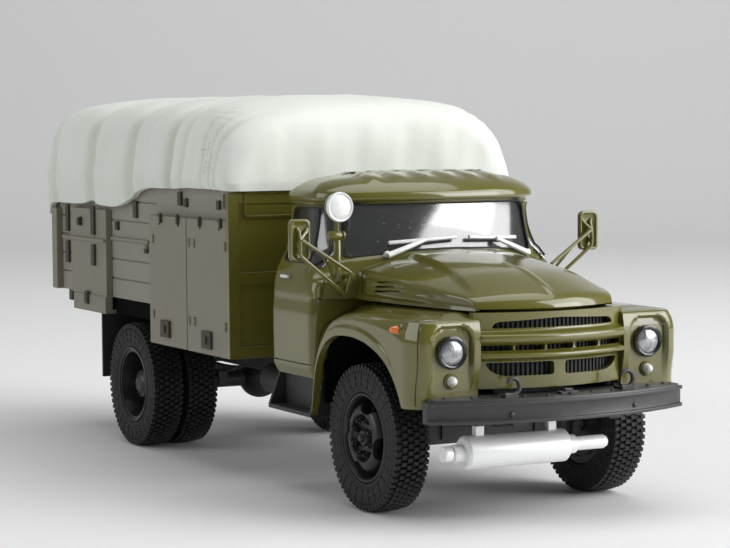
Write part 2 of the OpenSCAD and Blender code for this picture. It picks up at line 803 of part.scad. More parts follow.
// Wipers. Columns: pivot, elbow and tip of the blade, each as Y and Z.
wiper_rows = [
    [[-12.4, 40.4], [-11, 41.2], [0.7, 42.4]],
    [[16.6, 40.4], [15.2, 41.2], [3.6, 42.6]]];
function screen_x(y, z) =
    let (t = (z - 40.6) / 8.1, half = 21.6 - t, depth = 8.8 - 0.8 * t, mid = 12.2 + 2.1 * t)
    front_x - mid - depth + depth * pow(1 - pow(abs(y) / half, 2.1), 1 / 2.1);
function on_screen(p, off) = [screen_x(p[0], p[1]) + off, p[0], p[1]];

module wipers() {
    r = 0.22;
    color(silver) for (w = wiper_rows) {
        pivot = on_screen(w[0], 1.1);
        elbow = on_screen(w[1], 0.7);
        rod(pivot, elbow, r);
        rod(elbow, on_screen(w[2], 0.5), r);
        translate(elbow) sphere(r + 0.12);
        translate(pivot) sphere(0.45);
    }
}

spot_at = [front_x - 12.6, -20.6, 48.1];
spot_r = 2.35;
module spotlight() {
    low = 36.2;
    post = [spot_at.x - 0.6, spot_at.y, low];
    arm = post + [0, 0, 1.2];
    color(olive) {
        translate(spot_at) rotate([0, 90, 0]) rotate_extrude() polygon([
            [0, -1.6], [0.9, -1.5], [1.8, -0.9], [spot_r, 0.1], [spot_r, 0.7], [spot_r - 0.35, 0.7],
            [spot_r - 0.35, 0.2], [0, 0.2]]);
        rod([post.x, post.y, spot_at.z - 1.6], post, tube_r);
        rod(arm, arm + [-1, -0.6, 0], 0.3);
        translate(post + [0, 0, 4]) cylinder(h = 0.8, r = 0.7);
    }
}

module spotlight_lens() {
    r = spot_r - 0.35 - glass_gap;
    dome_r = 6;
    color(clear) translate(spot_at + [0.2 + glass_gap, 0, 0]) rotate([0, 90, 0]) intersection() {
        cylinder(h = 2, r = r);
        translate([0, 0, 0.7 - dome_r]) sphere(dome_r, $fn = 96);
    }
}

module door_handles() {
    y = 24.05;
    z = 36.2;
    color(silver) both_sides() {
        rod([front_x - 26.6, y + 0.35, z], [front_x - 24.0, y + 0.35, z], 0.28);
        rod([front_x - 26.4, y - 0.1, z], [front_x - 26.4, y + 0.35, z], 0.25);
    }
}

// Body: subframe on the rails, then floor, walls, lockers and cover
beam_w = 2.0;
bearer_pitch = 13.2;
module body_subframe() {
    back = tail_x + 4;
    front = body_front - wall_t - 1;
    count = floor((front - back) / bearer_pitch);
    color(black) {
        both_sides() block([back, rail_in, rail_top], [front, rail_in + beam_w, board_low]);
        for (k = [0:count]) {
            x = back + 1 + k * (front - back - 2) / count;
            block([x - 1, -plank_half_w + 1.5, bearer_low], [x + 1, plank_half_w - 1.5, board_low]);
        }
    }
}

module bed_floor() {
    color(drab) block(
        [tail_board_x + wall_t, -plank_half_w + board_t, board_low],
        [body_front - wall_t, plank_half_w - board_t, floor_z]);
}

panel_t = 0.3;
wall_top = 49.9;
wall_rim = 2;
module front_wall() {
    split = 36;
    face = body_front - panel_t;
    half = body_half_w;
    opening = half - wall_rim;
    // The upper lip stays clear of the cover's rounded corners
    lip_half = plank_half_w - wall_t;
    color(olive) {
        block([body_front - wall_t, -half, cabinet_low], [face, half, wall_top]);
        block([body_front - wall_t, -lip_half, wall_top], [body_front, lip_half, board_top]);
        difference() {
            block([face, -half, cabinet_low], [body_front, half, wall_top]);
            block([face, -opening, split], [body_front + 1, opening, wall_top - wall_rim]);
            block([face, -opening, cabinet_low + wall_rim], [body_front + 1, opening, split - wall_rim]);
        }
    }
}

module side_boards() {
    height = (board_top - board_low) / plank_count;
    back = tail_board_x + wall_t;
    color(drab) both_sides() difference() {
        block([back, plank_half_w - board_t, board_low], [body_front - wall_t, plank_half_w, board_top]);
        for (k = [1:plank_count - 1])
            block(
                [back - 1, plank_half_w - plank_groove, board_low + k * height - plank_groove / 2],
                [cabinet_back, plank_half_w + 1, board_low + k * height + plank_groove / 2]);
    }
}

module tailboard() {
    height = (board_top - board_low) / plank_count;
    tail_half = plank_half_w - board_t;
    color(drab) difference() {
        block([tail_board_x, -tail_half, board_low], [tail_board_x + wall_t, tail_half, board_top - 2]);
        for (k = [1:plank_count - 1])
            block(
                [tail_board_x - 1, -tail_half - 1, board_low + k * height - plank_groove / 2],
                [tail_board_x + plank_groove, tail_half + 1, board_low + k * height + plank_groove / 2]);
    }
}

// Front lockers: a proud cabinet on the side with a deeper box under the floor
door_seam = 0.35;
module cabinets() {
    front = body_front - wall_t;
    door_x = (front + cabinet_back) / 2;
    color(drab) both_sides() difference() {
        union() {
            block([cabinet_back, plank_half_w, cabinet_low], [front, body_half_w, cabinet_top]);
            block([cabinet_back, plank_half_w - 9, cabinet_low], [front, plank_half_w, bearer_low]);
        }
        block(
            [door_x - door_seam / 2, body_half_w - door_seam, cabinet_low - 1],
            [door_x + door_seam / 2, body_half_w + 1, cabinet_top + 1]);
    }
}

// Rear lockers: a proud panel on the side with a shallow box under it, and a
// post at the tail
locker_front = rear_x - 11;
locker_back = locker_front - 19.4;
locker_top = 45;
panel_face = body_half_w - 0.3;
post_w = 2.8;
post_top = 44.6;
box_low = 24.6;
module rear_lockers() {
    box_back = locker_back + 1.7;
    color(drab) both_sides() {
        block([locker_back, plank_half_w, board_low], [locker_front, panel_face, locker_top]);
        block([box_back, plank_half_w - 6, box_low], [locker_front, body_half_w, bearer_low]);
        block([box_back, plank_half_w, bearer_low], [locker_front, body_half_w, board_low]);
        block([tail_board_x, plank_half_w, board_low], [tail_board_x + post_w, panel_face, post_top]);
    }
}

// Straps, latches and hooks on the body's sides. Columns: middle from the rear
// axle along X, low end, high end, width, face it stands on.
strap_rows = [
    [-35.2, 39.9, 45.3, 1.7, plank_half_w],
    [-35.2, 33.5, 38, 1.7, plank_half_w],
    [-17.3, 39.8, 45.7, 1.7, panel_face],
    [-17.3, 33.8, 38, 1.7, panel_face],
    [2.1, 43.9, 47, 1.7, plank_half_w],
    [23.9, 46.9, 49.4, 1.5, plank_half_w],
    [44.4, 46.9, 49.5, 1.7, plank_half_w]];
latch_rows = [
    [20.1, 22.6, 25.7, 4, body_half_w],
    [39, 22.1, 25.2, 4, body_half_w],
    [26.6, 46.7, 48.3, 1.3, plank_half_w],
    [41.2, 46.7, 48.3, 1.3, plank_half_w],
    [-20.6, 26, 28.6, 1.6, body_half_w],
    [-24.6, 41.5, 43.2, 1.4, panel_face],
    [-7.5, 41.2, 42.9, 1.4, plank_half_w],
    [7.3, 37.4, 38.9, 1.4, plank_half_w],
    [18.3, 43.6, 45.4, 0.6, body_half_w],
    [26.3, 43.6, 45.4, 0.6, body_half_w],
    [36.3, 43.6, 45.4, 0.6, body_half_w],
    [45.4, 43.6, 45.4, 0.6, body_half_w]];
// Rails along the sides. Columns: low and high end from the rear axle along X, height, face.
side_rails = [
    [-38.2, -30.6, 38.7, plank_half_w], [-30.2, -11.2, 38.9, panel_face], [-10.8, 8.6, 39.5, plank_half_w]];
module body_hardware() {
    proud = 0.5;
    color(strap_brown) both_sides() {
        for (s = concat(strap_rows, latch_rows))
            block(
                [rear_x + s[0] - s[3] / 2, s[4], s[1]],
                [rear_x + s[0] + s[3] / 2, s[4] + proud, s[2]]);
        for (s = side_rails)
            block([rear_x + s[0], s[3], s[2] - 0.3], [rear_x + s[1], s[3] + proud, s[2] + 0.3]);
    }
}

// Cover: plan rings from its hem to its crown. Columns: inset at the sides, inset
// at the ends, corner radius, height below the crown, share of the bulge between
// folds. A height of 0 stands for the hem.
tarp_rings = [
    [0, 0, 2.4, 0, 0.3], [0, 0, 2.8, 15.5, 0.8], [0.5, 0.3, 4, 12.3, 1], [0.9, 0.5, 6, 8.8, 1],
    [1.5, 0.9, 8, 6.4, 1], [2.4, 1.5, 10, 4.7, 0.9], [3.9, 2.6, 12, 3.3, 0.7], [6.2, 4.4, 13, 2.1, 0.4],
    [10, 7.5, 12, 1.15, 0.2], [15, 12, 9, 0.5, 0], [20.5, 17.5, 6, 0.1, 0]];
// Share of the end inset and corner radius that the fuller rear end takes
tarp_rear = 0.4;
tarp_bulge = 0.8;
bulge_from = 15;
// Folds down the sides. Columns: place from the rear axle, depth, half width.
tarp_folds = [
    [-18, 0.8, 2.6], [3.2, 0.8, 2.4], [21.6, 1, 2.2], [29, 0.6, 2], [39, 0.5, 2.4], [44.5, 0.5, 2]];
tarp_sides = 44;
tarp_ends = 8;
tarp_turn = 5;
// Height of the hem along the side. Columns: place from the rear axle, height.
hem_line = [
    [-43, 45], [-39.2, 45.7], [-22.8, 46], [-18.8, 46.7], [-6.9, 45.9], [-2.7, 46.2], [6.2, 49],
    [12.7, 49.9], [49.4, 50.1]];
function hem(x) = lookup(x - rear_x, hem_line);
function fold(x) = max([for (f = tarp_folds) f[1] * exp(-pow((x - rear_x - f[0]) / f[2], 2))]);

// A quarter turn of a plan ring about a centre
function tarp_arc(x, y, r, from, last) =
    [for (k = [0:last]) let (a = from + 90 * k / tarp_turn) [x + r * cos(a), y + r * sin(a)]];

// Plan ring of the cover, moved inward by the wall
function tarp_plan(ring, wall) =
    let (front = tarp_front - ring[1] - wall, back = tail_x + ring[1] * tarp_rear + wall)
    let (half = tarp_half_w - ring[0] - wall, r = max(min(ring[2], half - 1) - wall, 0.6))
    let (turn = max(min(ring[2], half - 1) * tarp_rear - wall, 0.6))
    let (low = back + turn, high = front - r, side = half - r, rear = half - turn)
    concat(
        [for (k = [0:tarp_ends - 1]) [front, -side + 2 * side * k / tarp_ends]],
        tarp_arc(high, side, r, 0, tarp_turn),
        [for (k = [1:tarp_sides - 1]) [high + (low - high) * k / tarp_sides, half]],
        tarp_arc(low, rear, turn, 90, tarp_turn),
        [for (k = [1:tarp_ends - 1]) [back, rear - 2 * rear * k / tarp_ends]],
        tarp_arc(low, -rear, turn, 180, tarp_turn),
        [for (k = [1:tarp_sides - 1]) [low + (high - low) * k / tarp_sides, -half]],
        tarp_arc(high, -side, r, 270, tarp_turn - 1));

function tarp_grid(wall) = [for (ring = tarp_rings)
    [for (p = tarp_plan(ring, wall))
        let (reach = max(abs(p.y) - bulge_from, 0) / (tarp_half_w - bulge_from))
        let (out = ring[4] * tarp_bulge * (1 - fold(p.x)) * reach)
        [p.x, p.y + sign(p.y) * out, ring[3] == 0 ? hem(p.x) : tarp_top - wall - ring[3]]]];

module tarp() {
    color(canvas_white) skin(tarp_grid(0), tarp_grid(tarp_t), true);
}

flap_x = rear_x - tyre_d / 2 - 1.8;
module mudflaps() {
    color(rubber) both_sides()
        block([flap_x - 0.6, 14.2, 12], [flap_x, 27.6, box_low - eps]);
}

module tail_lamps() {
    color([0.55, 0.05, 0.04]) both_sides() block(
        [tail_board_x - 0.6, 21.5, board_low + 0.4], [tail_board_x, 24.5, board_low + 2.4]);
}

// Half of a lug's share of its pitch, at the tip and at the root
lug_share = 0.28;
root_share = 0.32;
// Tyre with its axle along Z: a round casing with a row of blocks on each shoulder
module tyre() {
    r = tyre_d / 2;
    base = r - lug_h;
    seat = rim_d / 2;
    half = tyre_w / 2;
    rotate_extrude($fn = 96) polygon([
        [seat, -half * 0.74], [seat + 0.5, -half * 0.9], [seat + 1.6, -half], [base - 1.2, -half],
        [base - 0.5, -half * 0.96], [base, -half * 0.86], [base, half * 0.86], [base - 0.5, half * 0.96],
        [base - 1.2, half], [seat + 1.6, half], [seat + 0.5, half * 0.9], [seat, half * 0.74]]);
    pitch = 360 / lug_count;
    root = base - 0.3;
    tip = r / cos(lug_share * pitch);
    for (row = [0, 1]) mirror([0, 0, row]) translate([0, 0, half * 0.12]) linear_extrude(half * 0.72)
        rotate(row * pitch / 2) difference() {
            polygon([for (k = [0:lug_count - 1])
                each [for (c = [[-root_share, root], [-lug_share, tip], [lug_share, tip], [root_share, root]])
                    let (a = (k + c[0]) * pitch) c[1] * [cos(a), sin(a)]]]);
            circle(root - 0.6);
        }
}

// Places a wheel piece, turned so that +Z of the piece points outward
module on_axle(x, y) {
    translate([x, y, axle_z]) rotate([y < 0 ? 90 : -90, 0, 0]) rotate(90) children();
}

// Front wheel: rim, dished disc with air windows, and a hub on the pin
hub_r = 2.0;
disc_t = 0.8;
module front_wheel() {
    seat = rim_d / 2;
    half = tyre_w * 0.43;
    inner = seat - rim_wall;
    difference() {
        rotate_extrude($fn = 96) polygon([
            [0, half - 0.6], [0, half + 0.3], [1.3, half + 0.3], [1.6, half], [1.6, half - 0.9],
            [4.4, half - 0.9], [inner - 0.4, half - 2.4], [inner, half - 2.4], [inner, half],
            [seat, half], [seat, -half], [inner, -half], [inner, half - 2.4 - disc_t],
            [inner - 0.6, half - 2.4 - disc_t], [4.0, half - 0.9 - disc_t], [hub_r, half - 0.9 - disc_t],
            [hub_r, -half - 0.2], [pin_r, -half - 0.2], [pin_r, half - 0.6]]);
        for (k = [0:vent_count - 1]) rotate(k * 360 / vent_count) linear_extrude(half) intersection() {
            difference() {
                circle(inner - 0.25);
                circle(4.5);
            }
            polygon([[0, 0], [12 * cos(24), -12 * sin(24)], [12 * cos(24), 12 * sin(24)]]);
        }
    }
}

// Rear twin wheel: two rims on a deep disc and a long hub on the pin
module rear_wheel() {
    seat = rim_d / 2;
    half = tyre_w * 0.43;
    inner = seat - rim_wall;
    back = -twin_spacing - half;
    disc_back = -twin_spacing + half;
    rotate_extrude($fn = 96) polygon([
        [0, 1.0], [0, 1.8], [1.5, 1.6], [2.0, 1.2], [2.6, 1.0], [2.6, -half], [inner, -half], [inner, half],
        [seat, half], [seat, -half], [seat - eps, -half], [seat - eps, disc_back], [seat, disc_back],
        [seat, back], [inner, back], [inner, disc_back], [hub_r, disc_back], [hub_r, back - 0.2],
        [pin_r, back - 0.2], [pin_r, 1.0]]);
}

module axle_pin(x, half) {
    color(silver) translate([x, -half, axle_z]) rotate([-90, 0, 0]) cylinder(h = 2 * half, r = pin_r);
}

module front_axle_pin() {
    axle_pin(front_x, front_half_track + tyre_w * 0.43 - 0.7);
}

module rear_axle_pin() {
    axle_pin(rear_x, rear_half_track + 0.9);
}

rear_inner_track = rear_half_track - twin_spacing;
module front_tyre_right() { color(rubber) on_axle(front_x, -front_half_track) tyre(); }
module front_tyre_left() { color(rubber) on_axle(front_x, front_half_track) tyre(); }
module front_wheel_right() { color(black) on_axle(front_x, -front_half_track) front_wheel(); }
module front_wheel_left() { color(black) on_axle(front_x, front_half_track) front_wheel(); }
module rear_tyre_right_outer() { color(rubber) on_axle(rear_x, -rear_half_track) tyre(); }
module rear_tyre_right_inner() { color(rubber) on_axle(rear_x, -rear_inner_track) tyre(); }
module rear_tyre_left_outer() { color(rubber) on_axle(rear_x, rear_half_track) tyre(); }
module rear_tyre_left_inner() { color(rubber) on_axle(rear_x, rear_inner_track) tyre(); }
module rear_wheel_right() { color(black) on_axle(rear_x, -rear_half_track) rear_wheel(); }
module rear_wheel_left() { color(black) on_axle(rear_x, rear_half_track) rear_wheel(); }

frame();
front_axle();
rear_axle();
leaf_springs();
engine();
drive_shaft();
fuel_tank();
air_receiver();
front_bumper();
tow_hooks();
silencer();
tow_hitch();
cab_shell();
cab_floor();
hood();
fender_right();
fender_left();
grille_panel();
grille_insert();
headlamp_bezels();
headlamp_lenses();
parking_lamps();
side_indicators();
windscreen();
side_windows();
rear_window();
seat();
dashboard();
steering_wheel();
side_steps();
mirrors();
wipers();
spotlight();
spotlight_lens();
door_handles();
body_subframe();
bed_floor();
front_wall();
side_boards();
tailboard();
cabinets();
rear_lockers();
body_hardware();
tarp();
mudflaps();
tail_lamps();
front_axle_pin();
front_tyre_right();
front_tyre_left();
front_wheel_right();
front_wheel_left();
rear_axle_pin();
rear_tyre_right_outer();
rear_tyre_right_inner();
rear_tyre_left_outer();
rear_tyre_left_inner();
rear_wheel_right();
rear_wheel_left();
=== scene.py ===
"""Looks of a small model of a bonneted cargo truck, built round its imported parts."""

import itertools
import logging
import math
from dataclasses import dataclass
from enum import Enum
from typing import Sequence

import bmesh
import bpy
import numpy as np
from mathutils import Matrix, Vector


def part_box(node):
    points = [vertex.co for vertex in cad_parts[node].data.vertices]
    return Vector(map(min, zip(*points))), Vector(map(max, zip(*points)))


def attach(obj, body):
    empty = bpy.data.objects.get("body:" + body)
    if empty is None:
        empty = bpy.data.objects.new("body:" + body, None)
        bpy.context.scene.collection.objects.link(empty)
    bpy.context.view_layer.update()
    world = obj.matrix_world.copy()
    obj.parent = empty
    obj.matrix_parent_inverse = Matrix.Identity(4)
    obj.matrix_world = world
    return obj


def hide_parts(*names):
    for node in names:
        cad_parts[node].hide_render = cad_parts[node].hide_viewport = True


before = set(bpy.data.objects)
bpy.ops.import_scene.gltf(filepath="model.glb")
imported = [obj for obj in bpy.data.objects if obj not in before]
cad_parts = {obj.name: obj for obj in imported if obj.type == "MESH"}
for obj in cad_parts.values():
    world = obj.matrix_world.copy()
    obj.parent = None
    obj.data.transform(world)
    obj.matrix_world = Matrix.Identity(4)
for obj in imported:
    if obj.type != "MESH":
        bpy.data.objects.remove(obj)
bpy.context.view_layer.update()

MM = 0.001
Table = Sequence[Sequence[float]]
Colour = Sequence[float] | bpy.types.NodeSocket
# The truck's two sides, as signs of Y.
SIDES = (-1, 1)
HANDS = ((-1, "right"), (1, "left"))
log = logging.getLogger("truck")


def smooth(low: float, high: float, x: np.ndarray) -> np.ndarray:
    """Eases from 0 at low to 1 at high.

    Args:
        low: Where the step starts.
        high: Where the step ends.
        x: Places to look at.

    Returns:
        The eased share at each place.
    """
    t = np.clip((np.asarray(x, float) - low) / (high - low), 0, 1)
    return t * t * (3 - 2 * t)


def through(xs: Sequence[float], ys: Sequence[float], x: np.ndarray) -> np.ndarray:
    """A smooth curve through points that never overshoots them.

    Args:
        xs: Rising places of the points.
        ys: Values of the points.
        x: Places to look at.

    Returns:
        The curve's values.
    """
    xs, ys = np.asarray(xs, float), np.asarray(ys, float)
    h = np.diff(xs)
    d = np.diff(ys) / h
    slope = np.zeros_like(ys)
    slope[0], slope[-1] = d[0], d[-1]
    w1, w2 = 2 * h[1:] + h[:-1], h[1:] + 2 * h[:-1]
    safe = np.where(d == 0, 1, d)
    mean = (w1 + w2) / (w1 / safe[:-1] + w2 / safe[1:])
    slope[1:-1] = np.where(d[:-1] * d[1:] > 0, mean, 0)
    x = np.clip(x, xs[0], xs[-1])
    i = np.clip(np.searchsorted(xs, x, side="right") - 1, 0, len(xs) - 2)
    t = (x - xs[i]) / h[i]
    return ((2 * t**3 - 3 * t**2 + 1) * ys[i] + (t**3 - 2 * t**2 + t) * h[i] * slope[i]
            + (3 * t**2 - 2 * t**3) * ys[i + 1] + (t**3 - t**2) * h[i] * slope[i + 1])


def column(table: Table, k: int) -> list[float]:
    """One column of a table."""
    return [row[k] for row in table]


def look(table: Table, k: int, x: np.ndarray) -> np.ndarray:
    """A smooth curve through a table's column, with places along its first one."""
    return through(column(table, 0), column(table, k), x)


def rounded(corners: Table, radius: float, steps: int = 6) -> np.ndarray:
    """A closed outline with its corners rounded.

    Args:
        corners: The corners in order.
        radius: How far from a corner its curve starts.
        steps: Pieces of each curve.

    Returns:
        Points of the outline.
    """
    pts = np.asarray(corners, float)
    out = []
    for before, here, after in zip(np.roll(pts, 1, 0), pts, np.roll(pts, -1, 0)):
        a = here + (before - here) * min(0.49, radius / np.linalg.norm(before - here))
        b = here + (after - here) * min(0.49, radius / np.linalg.norm(after - here))
        for k in range(steps + 1):
            t = k / steps
            out.append((1 - t) ** 2 * a + 2 * t * (1 - t) * here + t * t * b)
    return np.array(out)


def denser(path: np.ndarray, step: float, closed: bool = False) -> np.ndarray:
    """Adds points to the long pieces of a path.

    Args:
        path: Points of the path.
        step: Longest piece allowed.
        closed: Whether the last point joins the first.

    Returns:
        The path with more points.
    """
    pts = np.asarray(path, float)
    ends = np.roll(pts, -1, 0) if closed else pts[1:]
    out = []
    for a, b in zip(pts, ends):
        n = max(1, int(math.ceil(np.linalg.norm(b - a) / step)))
        out.extend(a + (b - a) * k / n for k in range(n))
    if not closed:
        out.append(pts[-1])
    return np.array(out)


def unit(v: np.ndarray) -> np.ndarray:
    """Vectors brought to length 1."""
    return v / np.maximum(np.linalg.norm(v, axis=-1, keepdims=True), 1e-12)


class MeshDraft:
    """Points in millimetres and faces that become one piece."""

    def __init__(self) -> None:
        """Starts empty."""
        self.points: list[np.ndarray] = []
        self.faces: list[tuple[int, ...]] = []
        self.count = 0

    def add(self, points: np.ndarray, faces: Sequence[Sequence[int]]) -> None:
        """Adds points and the faces between them.

        Args:
            points: New points.
            faces: Faces that count from the first new point.
        """
        pts = np.asarray(points, float).reshape(-1, 3)
        self.points.append(pts)
        self.faces.extend(tuple(int(i) + self.count for i in f) for f in faces)
        self.count += len(pts)

    def skin(self, outer: np.ndarray, inner: np.ndarray, wrap: bool) -> None:
        """Adds a closed sheet between an outer and an inner grid.

        Args:
            outer: Outer points by row and column.
            inner: Inner points by row and column.
            wrap: Whether the rows are rings, with the last one closed by a fan.
        """
        rows, cols = outer.shape[:2]
        base = rows * cols
        last = cols if wrap else cols - 1
        pts = np.concatenate([outer.reshape(-1, 3), inner.reshape(-1, 3)])
        faces: list[tuple[int, ...]] = []
        for i in range(rows - 1):
            for j in range(last):
                a, b = i * cols + j, i * cols + (j + 1) % cols
                c, d = a + cols, b + cols
                faces += [(a, b, d, c), (base + a, base + c, base + d, base + b)]
        for j in range(last):
            a, b = j, (j + 1) % cols
            faces.append((a, base + a, base + b, b))
        top = (rows - 1) * cols
        if wrap:
            pts = np.concatenate([pts, [outer[-1].mean(0)], [inner[-1].mean(0)]])
            for j in range(last):
                a, b = top + j, top + (j + 1) % cols
                faces += [(2 * base, a, b), (2 * base + 1, base + b, base + a)]
        else:
            for j in range(last):
                faces.append((top + j + 1, base + top + j + 1, base + top + j, top + j))
            for i in range(rows - 1):
                a, c = i * cols, (i + 1) * cols
                faces.append((c, base + c, base + a, a))
                a, c = a + cols - 1, c + cols - 1
                faces.append((a, base + a, base + c, c))
        self.add(pts, faces)

    def sheet(self, grid: np.ndarray) -> None:
        """Adds an open grid of faces."""
        rows, cols = grid.shape[:2]
        self.add(grid, [(i * cols + j, i * cols + j + 1, (i + 1) * cols + j + 1, (i + 1) * cols + j)
                        for i in range(rows - 1) for j in range(cols - 1)])

    def box(self, low: Sequence[float], high: Sequence[float]) -> None:
        """Adds a block.

        Args:
            low: Its lowest corner.
            high: Its highest corner.
        """
        pts = np.array(list(itertools.product(*zip(low, high))), float)
        self.add(pts, [(0, 1, 3, 2), (4, 6, 7, 5), (0, 4, 5, 1), (2, 3, 7, 6), (0, 2, 6, 4), (1, 5, 7, 3)])

    def prism(self, outline: np.ndarray, axis: int, low: float, high: float) -> None:
        """Adds an outline stretched along an axis.

        Args:
            outline: Points on the other two axes, in their order.
            axis: The axis it is stretched along.
            low: Where it starts.
            high: Where it ends.
        """
        n = len(outline)
        pts = np.concatenate([np.insert(outline, axis, low, axis=1), np.insert(outline, axis, high, axis=1)])
        self.add(pts, [(i, (i + 1) % n, n + (i + 1) % n, n + i) for i in range(n)]
                 + [tuple(range(n)), tuple(range(2 * n - 1, n - 1, -1))])

    def rings(self, rings: np.ndarray, closed: bool = False) -> None:
        """Adds a tube through closed rings, with its ends closed unless it meets itself.

        Args:
            rings: Points by ring.
            closed: Whether the last ring joins the first.
        """
        n, m = rings.shape[:2]
        faces: list[tuple[int, ...]] = []
        for i in range(n if closed else n - 1):
            k = (i + 1) % n
            faces += [(i * m + j, i * m + (j + 1) % m, k * m + (j + 1) % m, k * m + j) for j in range(m)]
        if not closed:
            faces += [tuple(range(m)), tuple(range(n * m - 1, (n - 1) * m - 1, -1))]
        self.add(rings.reshape(-1, 3), faces)

    def tube(self, path: np.ndarray, radius: float, sides: int = 12, closed: bool = False) -> None:
        """Adds a round tube along a path.

        Args:
            path: Points of its middle line.
            radius: Its radius, or one for each point.
            sides: Corners of its section.
            closed: Whether it is a loop.
        """
        p = np.asarray(path, float)
        along = unit(np.roll(p, -1, 0) - np.roll(p, 1, 0) if closed else np.gradient(p, axis=0))
        side = np.cross(along[0], (0.31, 0.17, 0.94))
        frames = []
        for t in along:
            side = unit(side - np.dot(side, t) * t)
            frames.append((side, np.cross(t, side)))
        r = np.broadcast_to(np.asarray(radius, float), (len(p),))
        a = np.arange(sides) * 2 * math.pi / sides
        self.rings(np.array([c + q * (np.cos(a)[:, None] * u + np.sin(a)[:, None] * v)
                             for c, q, (u, v) in zip(p, r, frames)]), closed)

    def ribbon(self, path: np.ndarray, normals: np.ndarray, width: float, below: float, above: float,
               closed: bool = False) -> None:
        """Adds a thin strip that lies in a surface.

        Args:
            path: Points on the surface.
            normals: Normals of the surface there.
            width: Width of the strip.
            below: How deep it goes.
            above: How far it stands out.
            closed: Whether it is a loop.
        """
        p, n = np.asarray(path, float), unit(np.asarray(normals, float))
        along = unit(np.roll(p, -1, 0) - np.roll(p, 1, 0) if closed else np.gradient(p, axis=0))
        side = unit(np.cross(along, n)) * width / 2
        self.rings(np.stack([p - side - n * below, p + side - n * below, p + side + n * above,
                             p - side + n * above], axis=1), closed)

    def lathe(self, profile: Table, middle: Sequence[float], axis: Sequence[float], steps: int = 48,
              hollow: bool = False) -> None:
        """Adds a profile turned about an axis.

        Args:
            profile: Radius and place along the axis.
            middle: Where the axis starts.
            axis: Its direction.
            steps: Pieces of a full turn.
            hollow: Whether the profile is a closed loop, which leaves the middle open.
        """
        w = unit(np.asarray(axis, float))
        u = unit(np.cross(w, (0.0, 0.0, 1.0) if abs(w[2]) < 0.9 else (1.0, 0.0, 0.0)))
        v = np.cross(w, u)
        a = np.arange(steps) * 2 * math.pi / steps
        ring = np.cos(a)[:, None] * u + np.sin(a)[:, None] * v
        self.rings(np.array([np.asarray(middle) + max(r, 1e-4) * ring + h * w for r, h in profile]), hollow)

    def piece(self, name: str, finish: "Finish", angle: float = 35, bevel: float = 0,
              closed: bool = True) -> bpy.types.Object:
        """Makes the object.

        Args:
            name: Its name.
            finish: What it is made of.
            angle: Edges sharper than this stay crisp, in degrees.
            bevel: Width of the rounding of its edges in millimetres.
            closed: Whether its faces are turned to point outward.

        Returns:
            The object, with its points in metres.
        """
        mesh = bpy.data.meshes.new(name)
        mesh.from_pydata((np.concatenate(self.points) * MM).tolist(), [], self.faces)
        if closed:
            bm = bmesh.new()
            bm.from_mesh(mesh)
            bmesh.ops.recalc_face_normals(bm, faces=bm.faces)
            bm.to_mesh(mesh)
            bm.free()
        obj = bpy.data.objects.new(name, mesh)
        bpy.context.scene.collection.objects.link(obj)
        mesh.materials.append(finish.material())
        shade(mesh, angle)
        if bevel:
            round_edges(obj, bevel)
        return obj

    def place(self, name: str, paint: "Paint", slot: str, *replaced: str, angle: float = 40, bevel: float = 0,
              body: str = "truck") -> None:
        """Makes the object and puts it on its body.

        Args:
            name: Its name.
            paint: What it is made of.
            slot: A material slot's name, passed on to settle, which does not use it.
            replaced: Nodes that it stands for.
            angle: Edges sharper than this stay crisp, in degrees.
            bevel: Width of the rounding of its edges in millimetres.
            body: The body it rides on.
        """
        settle(self.piece(name, paint.value, angle, bevel), body, slot, *replaced)


def shade(mesh: bpy.types.Mesh, angle: float) -> None:
    """Smooths a mesh but for its sharp edges.

    Args:
        mesh: The mesh.
        angle: Sharpness in degrees.
    """
    mesh.shade_smooth()
    mesh.set_sharp_from_angle(angle=math.radians(angle))


def round_edges(obj: bpy.types.Object, width: float, weld: bool = False) -> None:
    """Rounds the sharp edges of a piece.

    Args:
        obj: The piece.
        width: Width of the rounding in millimetres.
        weld: Whether split points are joined first.
    """
    if weld:
        obj.modifiers.new("Weld", "WELD").merge_threshold = 1e-6
    mod = obj.modifiers.new("Bevel", "BEVEL")
    mod.width = width * MM
    mod.segments = 2
    mod.limit_method = "ANGLE"
    mod.angle_limit = math.radians(40)
    mod.harden_normals = True


def carve(obj: bpy.types.Object, cutter: MeshDraft, angle: float = 35) -> None:
    """Takes a shape out of a piece.

    Args:
        obj: The piece.
        cutter: The shape to take out.
        angle: Edges sharper than this stay crisp, in degrees.
    """
    tool = cutter.piece("cutter", Paint.CHASSIS.value)
    mod = obj.modifiers.new("Cut", "BOOLEAN")
    mod.operation, mod.solver, mod.object = "DIFFERENCE", "EXACT", tool
    mod.use_self = True
    mod.material_mode = "INDEX"
    cut = bpy.data.meshes.new_from_object(obj.evaluated_get(bpy.context.evaluated_depsgraph_get()))
    obj.modifiers.clear()
    obj.data = cut
    bpy.data.objects.remove(tool)
    shade(cut, angle)


def settle(obj: bpy.types.Object, body: str, slot: str, *replaced: str) -> None:
    """Puts a piece on its body and hides the nodes it stands for.

    Args:
        obj: The piece.
        body: The body it rides on.
        slot: Not used.
        replaced: Nodes that it stands for.
    """
    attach(obj, body)
    if replaced:
        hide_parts(*replaced)
    log.info("%s on %s, %d faces", obj.name, body, len(obj.data.polygons))


